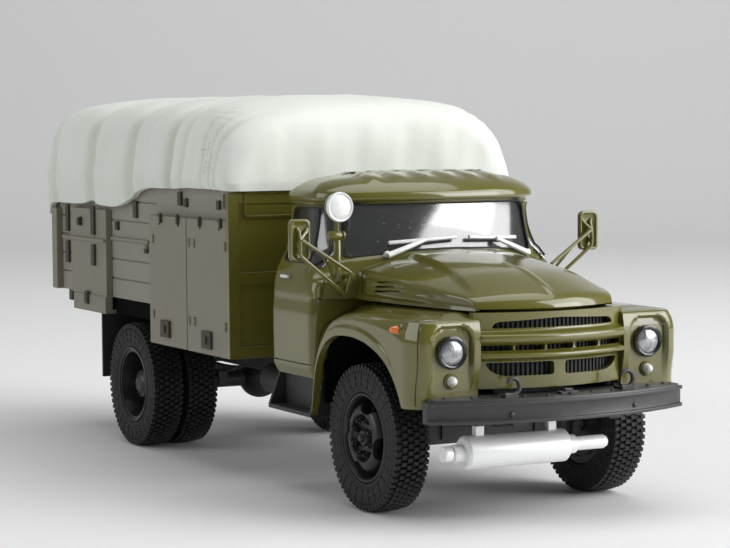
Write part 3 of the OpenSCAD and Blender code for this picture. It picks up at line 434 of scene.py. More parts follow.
class Term:
    """A shader value that takes part in sums."""

    def __init__(self, graph: "Graph", socket: bpy.types.NodeSocket) -> None:
        """Wraps a socket.

        Args:
            graph: The node tree's graph.
            socket: The socket to wrap.
        """
        self.graph, self.socket = graph, socket

    def _math(self, operation: str, *values: "Term | float") -> "Term":
        """Adds a Math node.

        Args:
            operation: What it does.
            values: Its inputs.

        Returns:
            Its result.
        """
        inputs = {k: v.socket if isinstance(v, Term) else v for k, v in enumerate(values)}
        return self.graph.term("ShaderNodeMath", {"operation": operation}, inputs, "Value")

    def __add__(self, other: "Term | float") -> "Term":
        """Sum."""
        return self._math("ADD", self, other)

    __radd__ = __add__

    def __sub__(self, other: "Term | float") -> "Term":
        """Difference."""
        return self._math("SUBTRACT", self, other)

    def __rsub__(self, other: float) -> "Term":
        """Difference from a number."""
        return self._math("SUBTRACT", other, self)

    def __mul__(self, other: "Term | float") -> "Term":
        """Product."""
        return self._math("MULTIPLY", self, other)

    __rmul__ = __mul__

    def step(self, low: float, high: float) -> "Term":
        """Eases from 0 to 1 between two values."""
        return self.graph.term("ShaderNodeMapRange", {"interpolation_type": "SMOOTHSTEP"},
                               {"Value": self.socket, "From Min": low, "From Max": high}, "Result")


class Graph:
    """The node tree of one material."""

    def __init__(self, name: str) -> None:
        """Starts a material.

        Args:
            name: The material's name.
        """
        self.material = bpy.data.materials.new(name)
        self.material.use_nodes = True
        self.tree = self.material.node_tree
        self.tree.nodes.clear()
        self.coords = self.node("ShaderNodeTexCoord", {}, {}).outputs["Object"]

    def node(self, kind: str, settings: dict, inputs: dict) -> bpy.types.Node:
        """Adds a node.

        Args:
            kind: The node's type.
            settings: Its own settings.
            inputs: Values or links of its sockets, by name or number.

        Returns:
            The node.
        """
        made = self.tree.nodes.new(kind)
        for key, value in settings.items():
            setattr(made, key, value)
        for key, value in inputs.items():
            if isinstance(value, Term):
                value = value.socket
            if isinstance(value, bpy.types.NodeSocket):
                self.tree.links.new(value, made.inputs[key])
            else:
                made.inputs[key].default_value = value
        return made

    def term(self, kind: str, settings: dict, inputs: dict, output: str) -> Term:
        """Adds a node and takes one output as a value."""
        return Term(self, self.node(kind, settings, inputs).outputs[output])

    def noise(self, scale: float, detail: float = 4, rough: float = 0.55,
              stretch: Sequence[float] = (1, 1, 1)) -> Term:
        """Cloudy noise over the piece.

        Args:
            scale: Features per metre.
            detail: Finer layers.
            rough: Share of the finer layers.
            stretch: Scale of each axis.

        Returns:
            The noise from 0 to 1.
        """
        vector = self.coords
        if tuple(stretch) != (1, 1, 1):
            mapped = self.node("ShaderNodeMapping", {}, {"Vector": self.coords, "Scale": stretch})
            vector = mapped.outputs["Vector"]
        return self.term("ShaderNodeTexNoise", {}, {"Vector": vector, "Scale": scale, "Detail": detail,
                                                    "Roughness": rough}, "Fac")

    def axis(self, k: int) -> Term:
        """The piece's own X, Y or Z in metres."""
        return self.term("ShaderNodeSeparateXYZ", {}, {"Vector": self.coords}, "XYZ"[k])

    def blend(self, share: Term, low: Colour, high: Colour) -> bpy.types.NodeSocket:
        """Mixes two colours.

        Args:
            share: Share of the second.
            low: First colour, or its socket.
            high: Second colour, or its socket.

        Returns:
            The mixed colour's socket.
        """
        fix = [c if isinstance(c, bpy.types.NodeSocket) else (*c, 1.0) for c in (low, high)]
        return self.node("ShaderNodeMix", {"data_type": "RGBA"}, {0: share, 6: fix[0], 7: fix[1]}).outputs[2]

    def bump(self, height: Term, strength: float, depth: float) -> bpy.types.NodeSocket:
        """Turns a height into a normal.

        Args:
            height: The height from 0 to 1.
            strength: How much of it shows.
            depth: Height of 1 in millimetres.

        Returns:
            The normal's socket.
        """
        inputs = {"Height": height, "Strength": strength, "Distance": depth * MM}
        return self.node("ShaderNodeBump", {}, inputs).outputs["Normal"]

    def finish(self, inputs: dict) -> bpy.types.Material:
        """Closes the tree with its surface shader.

        Args:
            inputs: Values or links of the shader.

        Returns:
            The material.
        """
        shader = self.node("ShaderNodeBsdfPrincipled", {}, inputs)
        self.node("ShaderNodeOutputMaterial", {}, {"Surface": shader.outputs["BSDF"]})
        return self.material


@dataclass(frozen=True)
class Finish:
    """A finish with its name and base colour."""

    name: str
    colour: tuple[float, float, float]

    def material(self) -> bpy.types.Material:
        """The finish's material, made once."""
        name = f"{self.name}_finish"
        found = bpy.data.materials.get(name)
        return found if found else self.make(Graph(name))

    def make(self, graph: Graph) -> bpy.types.Material:
        """Builds the nodes.

        Args:
            graph: The empty node tree.

        Returns:
            The material.
        """
        raise NotImplementedError

    def tone(self, k: float) -> tuple[float, float, float]:
        """The base colour made darker or lighter."""
        return tuple(min(1.0, c * k) for c in self.colour)


@dataclass(frozen=True)
class Enamel(Finish):
    """Glossy sprayed enamel on die-cast metal."""

    gloss: float = 0.26

    def make(self, graph: Graph) -> bpy.types.Material:
        """Soft clouds in the colour, orange peel and a few dust specks."""
        clouds = graph.noise(90, 3)
        specks = graph.noise(2600, 2).step(0.72, 0.8)
        peel = graph.noise(1500, 2, 0.4)
        low = graph.axis(2).step(0.034, 0.016) * graph.noise(260, 5).step(0.35, 0.75)
        colour = graph.blend(clouds, self.tone(0.9), self.tone(1.1))
        colour = graph.blend(specks * 0.25, colour, self.tone(2.0))
        colour = graph.blend(low * 0.2, colour, (0.2, 0.18, 0.13))
        return graph.finish({
            "Base Color": colour, "Roughness": self.gloss + clouds * 0.07 + low * 0.2 + specks * 0.2,
            "Specular IOR Level": 0.25, "Coat Weight": 1.0, "Coat IOR": 1.55, "Coat Roughness": 0.05,
            "Normal": graph.bump(peel, 0.05, 0.05)})


@dataclass(frozen=True)
class Moulding(Finish):
    """Satin moulded plastic with a fine grain."""

    rough: float = 0.5
    grain: float = 0.16
    dust: float = 0.12
    shine: float = 0.5

    def make(self, graph: Graph) -> bpy.types.Material:
        """Mottled colour, fine grain and patches of dust."""
        clouds = graph.noise(120, 4)
        fine = graph.noise(3200, 3)
        dusty = graph.noise(420, 5).step(0.45, 0.8)
        colour = graph.blend(clouds, self.tone(0.88), self.tone(1.12))
        colour = graph.blend(dusty * self.dust, colour, (0.3, 0.28, 0.24))
        return graph.finish({
            "Base Color": colour, "Roughness": self.rough + clouds * 0.1 + dusty * 0.1,
            "Specular IOR Level": self.shine, "Normal": graph.bump(fine, self.grain, 0.04)})


@dataclass(frozen=True)
class Strapping(Finish):
    """Dark straps that run behind a rail in the body's colour."""

    rail: tuple[float, float, float]
    rail_low: float = 0.0383
    rail_high: float = 0.0399
    edge: float = 2e-5

    def make(self, graph: Graph) -> bpy.types.Material:
        """Mottled dark brown, with the rail's colour over its heights."""
        clouds = graph.noise(300, 4)
        height = graph.axis(2)
        over = height.step(self.rail_low - self.edge, self.rail_low)
        band = over * height.step(self.rail_high + self.edge, self.rail_high)
        dark = graph.blend(clouds, self.tone(0.8), self.tone(1.2))
        return graph.finish({
            "Base Color": graph.blend(band, dark, self.rail), "Roughness": 0.46 + clouds * 0.14,
            "Normal": graph.bump(graph.noise(3000, 3), 0.2, 0.04)})


@dataclass(frozen=True)
class Boards(Finish):
    """Moulded boards with a faint grain along the truck."""

    def make(self, graph: Graph) -> bpy.types.Material:
        """Grain stretched along X under a satin paint."""
        grain = graph.noise(900, 5, 0.6, (0.06, 1, 1))
        clouds = graph.noise(110, 3)
        colour = graph.blend(clouds * 0.6 + grain * 0.4, self.tone(0.84), self.tone(1.14))
        return graph.finish({
            "Base Color": colour, "Roughness": 0.46 + grain * 0.16, "Normal": graph.bump(grain, 0.16, 0.06)})


@dataclass(frozen=True)
class Canvas(Finish):
    """Moulded canvas with a fine weave and painted shade in the hollows of its folds."""

    # The colour the tint mixes towards, for the clouds, creases and low tint and for the painted shade in the
    # folds.
    shade: tuple[float, float, float] = (0.5, 0.55, 0.45)
    # Folds on the sides that get painted shade. Columns: place of a fold along the truck at 56 mm height,
    # half width, lean, strength; lengths in metres.
    shaded_valleys: tuple[tuple[float, float, float, float], ...] = (
        (-0.0745, 0.0022, 0.0, 0.3), (-0.054, 0.0034, 0.02, 0.8), (-0.0328, 0.0032, 0.05, 0.75),
        (-0.0142, 0.0028, 0.08, 1.0), (-0.0072, 0.0018, 0.14, 0.5), (0.0026, 0.0007, 0.1, 0.5),
        (0.0062, 0.0006, 0.1, 0.55), (0.0085, 0.0009, 0.1, 0.6))

    def make(self, graph: Graph) -> bpy.types.Material:
        """Weave, soft creases, a green-grey tint low down and in clouds, and painted shade down the folds of
        the sides.
        """
        weave = (graph.noise(2400, 1, 0.3, (1, 1, 0.15)) + graph.noise(2400, 1, 0.3, (0.15, 0.15, 1))) * 0.5
        creases = graph.noise(150, 4, 0.5, (1, 1, 0.3))
        clouds = graph.noise(60, 4)
        height = graph.axis(2)
        side = (graph.axis(1) * graph.axis(1)).step(0.017**2, 0.025**2) * height.step(0.066, 0.06)
        # Painted shade down the folds of the sides, darkest at each fold's middle.
        fold_shade = 0.0
        for place, half, lean, strength in self.shaded_valleys:
            away = graph.axis(0) - lean * (height - 0.056) - place
            fold_shade = fold_shade + (away * away).step(half * half, 0.0) * strength
        tint = (clouds.step(0.4, 0.75) * 0.2 + height.step(0.056, 0.045) * 0.15
                + creases.step(0.55, 0.8) * 0.15)
        tint = tint + fold_shade * side * (0.35 + creases * 0.5)
        return graph.finish({
            "Base Color": graph.blend(tint, self.colour, self.shade), "Roughness": 0.62 + clouds * 0.2,
            "Normal": graph.bump(creases * 0.8 + weave * 0.2, 0.35, 0.25)})


@dataclass(frozen=True)
class Rubber(Finish):
    """Moulded rubber with a little dust."""

    def make(self, graph: Graph) -> bpy.types.Material:
        """Grey bloom in clouds and a fine pitted grain."""
        bloom = graph.noise(260, 5, 0.6).step(0.35, 0.85)
        pits = graph.noise(2600, 3)
        return graph.finish({
            "Base Color": graph.blend(bloom, self.tone(0.7), self.tone(1.7)), "Roughness": 0.6 + bloom * 0.22,
            "Normal": graph.bump(pits, 0.3, 0.05)})


@dataclass(frozen=True)
class Silver(Finish):
    """Bright silver paint."""

    rough: float = 0.3
    metal: float = 0.35

    def make(self, graph: Graph) -> bpy.types.Material:
        """Fine flakes and faint smears."""
        flakes = graph.noise(4200, 2)
        smears = graph.noise(200, 4)
        return graph.finish({
            "Base Color": graph.blend(flakes, self.tone(0.86), self.tone(1.06)), "Metallic": self.metal,
            "Roughness": self.rough + smears * 0.14, "Normal": graph.bump(flakes, 0.06, 0.03)})


@dataclass(frozen=True)
class Pane(Finish):
    """Clear moulded window with faint flow marks."""

    alpha: float = 0.6

    def make(self, graph: Graph) -> bpy.types.Material:
        """A dark clear sheet that mirrors its surroundings, with a few dust specks."""
        waves = graph.noise(140, 2)
        specks = graph.noise(2200, 1).step(0.74, 0.8)
        return graph.finish({
            "Base Color": graph.blend(specks, self.colour, (0.5, 0.5, 0.48)),
            "Roughness": 0.1 + waves * 0.08 + specks * 0.3, "Alpha": self.alpha + specks * 0.4,
            "IOR": 1.7, "Specular IOR Level": 0.9, "Coat Weight": 1.0, "Coat IOR": 2.2,
            "Coat Roughness": 0.12, "Normal": graph.bump(waves, 0.04, 0.1)})


@dataclass(frozen=True)
class LampGlass(Finish):
    """A lens over a bright reflector, with moulded flutes."""

    flutes: float = 1900

    def make(self, graph: Graph) -> bpy.types.Material:
        """Flutes across the lens and a mottled silver behind it."""
        ribs = graph.noise(self.flutes, 2, 0.5, (1, 1, 0.25))
        mottle = graph.noise(900, 3)
        return graph.finish({
            "Base Color": graph.blend(mottle.step(0.3, 0.7), self.tone(0.55), self.tone(1.1)),
            "Metallic": 0.55, "Roughness": 0.14 + mottle * 0.14, "Coat Weight": 1.0, "Coat Roughness": 0.03,
            "Normal": graph.bump(ribs, 0.35, 0.12)})


@dataclass(frozen=True)
class Lacquer(Finish):
    """Glossy tinted plastic of a small lamp."""

    def make(self, graph: Graph) -> bpy.types.Material:
        """Slight clouds under a clear gloss."""
        clouds = graph.noise(900, 3)
        return graph.finish({
            "Base Color": graph.blend(clouds, self.tone(0.8), self.tone(1.15)),
            "Roughness": 0.2 + clouds * 0.12, "Coat Weight": 0.8, "Normal": graph.bump(clouds, 0.05, 0.05)})


@dataclass(frozen=True)
class Ground(Finish):
    """Plain pale paper under the model."""

    def make(self, graph: Graph) -> bpy.types.Material:
        """A faint paper grain."""
        grain = graph.noise(700, 3)
        return graph.finish({
            "Base Color": graph.blend(grain, self.tone(0.97), self.tone(1.02)),
            "Roughness": 0.7 + grain * 0.1})


class Paint(Enum):
    """The finishes of the truck and its stage."""

    OLIVE = Enamel("olive_gloss", (0.128, 0.12, 0.018))
    DRAB = Moulding("body_drab", (0.23, 0.218, 0.165), 0.42, 0.1, 0.1)
    BOARDS = Boards("body_boards", (0.275, 0.266, 0.222))
    CHASSIS = Moulding("chassis_black", (0.03, 0.03, 0.031), 0.42, 0.2, 0.05)
    BUMPER = Moulding("bumper_black", (0.042, 0.041, 0.041), 0.34, 0.12, 0.05)
    WHEEL = Moulding("wheel_black", (0.014, 0.0145, 0.015), 0.27, 0.1, 0.03)
    # Near-black matte finish that paints the shade inside the wheel arches and behind the grille.
    SHADE_BLACK = Moulding("shade_black", (0.004, 0.004, 0.004), 0.8, 0.1, 0.0, 0.05)
    TRIM = Moulding("cab_trim", (0.02, 0.02, 0.02), 0.6, 0.2, 0.05)
    STRAP = Strapping("strap_brown", (0.05, 0.045, 0.028), (0.24, 0.23, 0.18))
    SEAL = Rubber("window_rubber", (0.018, 0.018, 0.019))
    TYRE = Rubber("tyre_rubber", (0.013, 0.013, 0.0138))
    FLAP = Rubber("flap_rubber", (0.022, 0.022, 0.022))
    SILVER = Silver("bright_silver", (0.9, 0.905, 0.91), 0.3, 0.2)
    STEEL = Silver("pin_steel", (0.6, 0.61, 0.62), 0.25, 0.9)
    CANVAS = Canvas("cover_white", (0.80, 0.83, 0.775))
    GLASS = Pane("window_glass", (0.03, 0.032, 0.034))
    LAMP = LampGlass("lamp_glass", (0.36, 0.37, 0.385))
    SPOT = Lacquer("spot_glass", (0.86, 0.87, 0.86))
    BEZEL = Lacquer("bezel_black", (0.012, 0.012, 0.013))
    WHITE = Lacquer("lamp_white", (0.8, 0.8, 0.77))
    AMBER = Lacquer("lamp_amber", (0.8, 0.2, 0.02))
    RED = Lacquer("lamp_red", (0.42, 0.02, 0.02))
    FLOOR = Ground("floor_paper", (0.86, 0.86, 0.86))


@dataclass(frozen=True)
class Datum:
    """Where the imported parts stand, in millimetres."""

    front_x: float
    rear_x: float
    tail_x: float
    axle_z: float

    @classmethod
    def read(cls) -> "Datum":
        """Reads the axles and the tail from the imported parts."""
        pins = [[(a + b) / 2 / MM for a, b in zip(*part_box(n))] for n in ("front_axle_pin", "rear_axle_pin")]
        return cls(pins[0][0], pins[1][0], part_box("tarp")[0].x / MM, pins[0][2])


AT = Datum.read()


@dataclass
class Cab:
    """The cab's shell with its doors, roof ribs, panes and seals."""

    # Columns: height, half width, front middle, depth of the front curve, its
    # power, rear face, depth of the rear corners, the last five behind the front axle.
    rings: Table = (
        (19.7, 23.4, 14.9, 2.5, 4, 32.3, 2.5), (21.6, 24.2, 14.9, 2.5, 4, 32.5, 2.5),
        (30, 24.3, 14.9, 2.5, 4, 32.5, 2.5), (32.8, 24.1, 14.9, 2.5, 4, 32.5, 2.5),
        (33.0, 24.1, 12.6, 4.5, 3.4, 32.5, 2.5), (36.4, 23.7, 12.4, 5, 3, 32.5, 2.5),
        (38.4, 22.8, 11.8, 7.8, 2.3, 32.5, 2.5), (39.9, 22.0, 11.7, 8.6, 2.1, 32.5, 2.5),
        (40.6, 21.6, 12.2, 8.8, 2.1, 32.5, 2.5), (48.5, 20.6, 14.3, 8, 2.1, 32.4, 2.5),
        (48.9, 20.9, 12.7, 9.2, 2.15, 32.6, 2.5), (49.2, 21.0, 12.5, 9.2, 2.15, 32.65, 2.5),
        (50.0, 20.9, 12.6, 9.2, 2.15, 32.6, 2.5), (51.2, 19.9, 13.8, 9, 2.2, 32.2, 3.5),
        (52.5, 17.3, 16.4, 8.5, 2.3, 30.8, 4.5), (53.3, 12.4, 20.0, 6, 2.4, 28.4, 5))
    wall: float = 1.1
    droop: float = 1.3
    screen: Table = (
        (-18.3, 39.45), (-9, 40.5), (0, 40.75), (9, 40.5), (18.3, 39.45), (17.5, 48.25), (0, 48.35),
        (-17.5, 48.25))
    door_glass: Table = ((-29.4, 38.6), (-17.2, 38.6), (-18.9, 47.7), (-29.2, 47.7))
    rear_glass: Table = ((-9, 41), (9, 41), (9, 47), (-9, 47))
    door: Table = ((-15.9, 22.0), (-15.6, 27.7), (-15.0, 31.5), (-14.4, 35.4), (-15.2, 38.2), (-16.6, 43),
                   (-17.9, 48.1), (-30.4, 48.1), (-30.9, 44), (-31.0, 22.0))
    rib_y: Sequence[float] = (-11.5, -6.9, -2.3, 2.3, 6.9, 11.5)
    rib_h: float = 0.27
    seam_w: float = 0.26
    seam_depth: float = 0.4
    # Corner radii of the windscreen, the door windows and the rear window.
    screen_r: float = 1.6
    door_r: float = 1.4
    rear_r: float = 1.2
    # The door window's post, as place along the cab and height.
    post: Table = ((-20.6, 38.7), (-20.9, 47.6))
    hinge: Table = ((0, -0.9), (0.3, -0.9), (0.38, -0.8), (0.38, 0.8), (0.3, 0.9), (0, 0.9))
    hinge_x: float = -14.75
    hinge_z: Sequence[float] = (25.5, 34.2)

    def ring(self, z: np.ndarray) -> list[np.ndarray]:
        """The columns of the ring table at some heights."""
        return [look(self.rings, k, z) for k in range(1, 7)]

    def front_x(self, y: np.ndarray, z: np.ndarray) -> np.ndarray:
        """Place of the front face at a width and height, before the droop."""
        half, mid, depth, power, _, _ = self.ring(z)
        share = np.clip(np.abs(y) / half, 0, 0.999) ** power
        return AT.front_x - mid - depth + depth * (1 - share) ** (1 / power)

    def side_y(self, x: np.ndarray, z: np.ndarray) -> np.ndarray:
        """Half width at a place along the cab and a height."""
        half, mid, depth, power, back, corner = self.ring(z)
        ahead = np.clip((x - (AT.front_x - mid - depth)) / depth, 0, 0.999)
        behind = np.clip(((AT.front_x - back + corner) - x) / corner, 0, 0.999)
        return half * (1 - ahead**power) ** (1 / power) * (1 - behind**2.6) ** (1 / 2.6)

    def sink(self, x: np.ndarray, y: np.ndarray, z: np.ndarray) -> np.ndarray:
        """How far the cowl hangs down towards its ends."""
        share = np.clip(np.abs(y) / 18.5, 0, 1.1) ** 2
        return self.droop * share * smooth(34, 39, z) * smooth(48.3, 41, z) * smooth(-20, -16, x - AT.front_x)

    def on_front(self, y: np.ndarray, z: np.ndarray, out: float = 0) -> np.ndarray:
        """Points of the front face.

        Args:
            y: Widths.
            z: Heights after the droop.
            out: How far they stand out of the face.

        Returns:
            The points.
        """
        y, z = np.asarray(y, float), np.asarray(z, float)
        flat = z.copy()
        for _ in range(6):
            flat = z + self.sink(self.front_x(y, flat), y, flat)
        return np.stack([self.front_x(y, flat) + out, y, z], axis=-1)

    def on_side(self, x: np.ndarray, z: np.ndarray, side: int, out: float = 0) -> np.ndarray:
        """Points of a side, with x behind the front axle as in the tables."""
        x, z = np.asarray(x, float) + AT.front_x, np.asarray(z, float)
        return np.stack([x, side * (self.side_y(x, z) + out), z], axis=-1)

    def grid(self, inset: float) -> np.ndarray:
        """The shell's points at an inset.

        Args:
            inset: How far inside the outer face.

        Returns:
            Points by height and round the cab.
        """
        heights = column(self.rings, 0)
        z = np.unique(np.concatenate([np.linspace(a, b, int(math.ceil((b - a) / 0.55)) + 2)
                                      for a, b in zip(heights, heights[1:])]))
        half, mid, depth, power, back, corner = (c[:, None] for c in self.ring(z))
        half, front, rear = half - inset, AT.front_x - mid - inset, AT.front_x - back + inset
        t = np.radians(np.linspace(-90, 90, 97))[None, :]
        fx = front - depth + depth * np.abs(np.cos(t)) ** (2 / power)
        fy = half * np.abs(np.sin(t)) ** (2 / power) * np.sign(t)
        t = np.radians(np.linspace(90, -90, 49))[None, :]
        bx = rear + corner - corner * np.abs(np.cos(t)) ** (2 / 2.6)
        by = half * np.abs(np.sin(t)) ** (2 / 2.6) * np.sign(t)
        s = np.linspace(0, 1, 26)[None, 1:-1]
        sx = (front - depth) * (1 - s) + (rear + corner) * s
        x = np.concatenate([fx, sx, bx, sx[:, ::-1]], axis=1)
        y = np.concatenate([fy, half + 0 * s, by, -half + 0 * s], axis=1)
        zz = np.broadcast_to(z[:, None], x.shape)
        zz = zz - self.sink(x, y, zz) - inset * smooth(46, 52, zz)
        if inset == 0:
            ribs = self.rib_h * self.ribs(y)
            zz = zz + ribs * smooth(51.6, 52.6, zz) * smooth(-15.5, -17.5, x - AT.front_x)
        rows = np.stack([x, y, zz], axis=-1)
        top = rows[-1]
        middle = np.array([top[:, 0].mean(), 0, top[:, 2].max() + 0.15])
        extra = []
        for share in (0.85, 0.7, 0.55, 0.4, 0.25, 0.1):
            ring = middle + (top - middle) * share
            ring[:, 2] = top[:, 2].min() + 0.15 * (1 - share**2)
            if inset == 0:
                ring[:, 2] += self.rib_h * self.ribs(ring[:, 1])
            extra.append(ring)
        return np.concatenate([rows, np.array(extra)])

    def ribs(self, y: np.ndarray) -> np.ndarray:
        """Share of the roof ribs' height at some widths."""
        return sum(smooth(1.5, 0.7, np.abs(y - r)) for r in self.rib_y)

    def outline(self, corners: Table, radius: float) -> np.ndarray:
        """A window's outline with close points."""
        return denser(rounded(corners, radius), 0.8, True)

    def build_shell(self) -> None:
        """Makes the shell, cuts its windows and door seams."""
        draft = MeshDraft()
        draft.skin(self.grid(0), self.grid(self.wall), True)
        shell = draft.piece("cab_body", Paint.OLIVE.value)
        cut = MeshDraft()
        cut.prism(rounded(self.screen, self.screen_r), 0, AT.front_x - 22, AT.front_x - 8)
        cut.prism(rounded(self.rear_glass, self.rear_r), 0, AT.front_x - 34, AT.front_x - 30)
        glass = rounded(self.door_glass, self.door_r) + (AT.front_x, 0)
        cut.prism(glass, 1, -27, -17)
        cut.prism(glass, 1, 17, 27)
        carve(shell, cut)
        seams = MeshDraft()
        path = denser(rounded(self.door, 0.9, 4), 0.8, True)
        for side in SIDES:
            p = self.on_side(path[:, 0], path[:, 1], side)
            ahead = self.on_side(path[:, 0] + 0.05, path[:, 1], side) - p
            above = self.on_side(path[:, 0], path[:, 1] + 0.05, side) - p
            out = np.cross(above, ahead) * side
            seams.ribbon(p, out, self.seam_w, self.seam_depth, self.seam_depth, True)
        carve(shell, seams)
        settle(shell, "truck", "olive_gloss", "cab_shell")

    def build_glass(self) -> None:
        """Makes the panes behind the openings."""
        t, s = np.meshgrid(np.linspace(0, 1, 14), np.linspace(-1, 1, 40), indexing="ij")
        sill = self.screen[:5]
        base = look(sill, 1, s * sill[-1][0]) - 0.5
        y, z = s * (18.75 - 0.8 * t), base + (48.8 - base) * t
        outer, inner = self.on_front(y, z, -0.5), self.on_front(y, z, -0.85)
        draft = MeshDraft()
        draft.skin(outer, inner, False)
        draft.place("windscreen_pane", Paint.GLASS, "window_glass", "windscreen", angle=35)
        draft = MeshDraft()
        s = (s + 1) / 2
        x, z = -29.8 + s * (13.1 - 1.8 * t), 38.1 + 10.1 * t
        for side in SIDES:
            draft.skin(self.on_side(x, z, side, -0.45), self.on_side(x, z, side, -0.8), False)
        draft.place("door_panes", Paint.GLASS, "window_glass", "side_windows", angle=35)
        draft = MeshDraft()
        y, z = (s * 2 - 1) * 9.4, 40.6 + 6.8 * t
        x = np.full_like(y, AT.front_x - 32.0)
        draft.skin(np.stack([x, y, z], -1), np.stack([x + 0.35, y, z], -1), False)
        draft.place("rear_pane", Paint.GLASS, "window_glass", "rear_window", angle=35)

    def build_seals(self) -> None:
        """Makes the rubber seals round the panes and the posts of the door windows."""
        draft = MeshDraft()
        edge = self.outline(self.screen, self.screen_r)
        draft.tube(self.on_front(edge[:, 0], edge[:, 1], -0.1), 0.22, 8, True)
        edge = self.outline(self.door_glass, self.door_r)
        for side in SIDES:
            draft.tube(self.on_side(edge[:, 0], edge[:, 1], side, -0.1), 0.18, 8, True)
            post = denser(self.post, 1)
            draft.tube(self.on_side(post[:, 0], post[:, 1], side, -0.45), 0.28, 8)
        edge = self.outline(self.rear_glass, self.rear_r)
        draft.tube(np.insert(edge, 0, AT.front_x - 32.45, axis=1), 0.3, 8, True)
        draft.place("window_seals", Paint.SEAL, "cab_trim", angle=35)

    def build_fittings(self) -> None:
        """Makes the door hinges."""
        draft = MeshDraft()
        for side in SIDES:
            for z in self.hinge_z:
                foot = self.on_side(np.array([self.hinge_x]), np.array([z]), side, 0.15)[0]
                draft.lathe(self.hinge, foot, (0, 0, 1), 12)
        draft.place("door_hinges", Paint.OLIVE, "olive_gloss", angle=35)


@dataclass
class Wipers:
    """Silver wipers on the windscreen."""

    # Columns: pivot, arm's end, blade's inner and outer end, each as width and height.
    rows: Table = (((-11.6, 39.9), (-4.6, 42.3), (1.4, 42.6), (-10.8, 41.9)),
                   ((16.6, 39.3), (9.6, 42.1), (4.0, 42.5), (14.3, 42.1)))

    def build(self, cab: Cab) -> None:
        """Makes both wipers.

        Args:
            cab: The cab they lie on.
        """
        draft = MeshDraft()
        for pivot, joint, inner, outer in self.rows:
            path = denser(np.array([pivot, joint]), 1)
            arm = cab.on_front(path[:, 0], path[:, 1])
            arm[:, 0] += np.linspace(0.9, 0.75, len(path))
            draft.tube(arm, np.linspace(0.52, 0.36, len(path)), 8)
            path = denser(np.array([inner, outer]), 1)
            draft.tube(cab.on_front(path[:, 0], path[:, 1], 0.42), 0.34, 8)
            draft.tube(cab.on_front(path[:, 0], path[:, 1], 0.2), 0.16, 6)
            foot = cab.on_front(np.array([pivot[0]]), np.array([pivot[1]]), 0.15)[0]
            draft.lathe([(0, 0), (0.5, 0), (0.5, 0.5), (0.38, 0.85), (0, 1.0)], foot, (0.85, 0, 0.5), 14)
        draft.place("wiper_set", Paint.SILVER, "bright_silver", "wipers", angle=35)


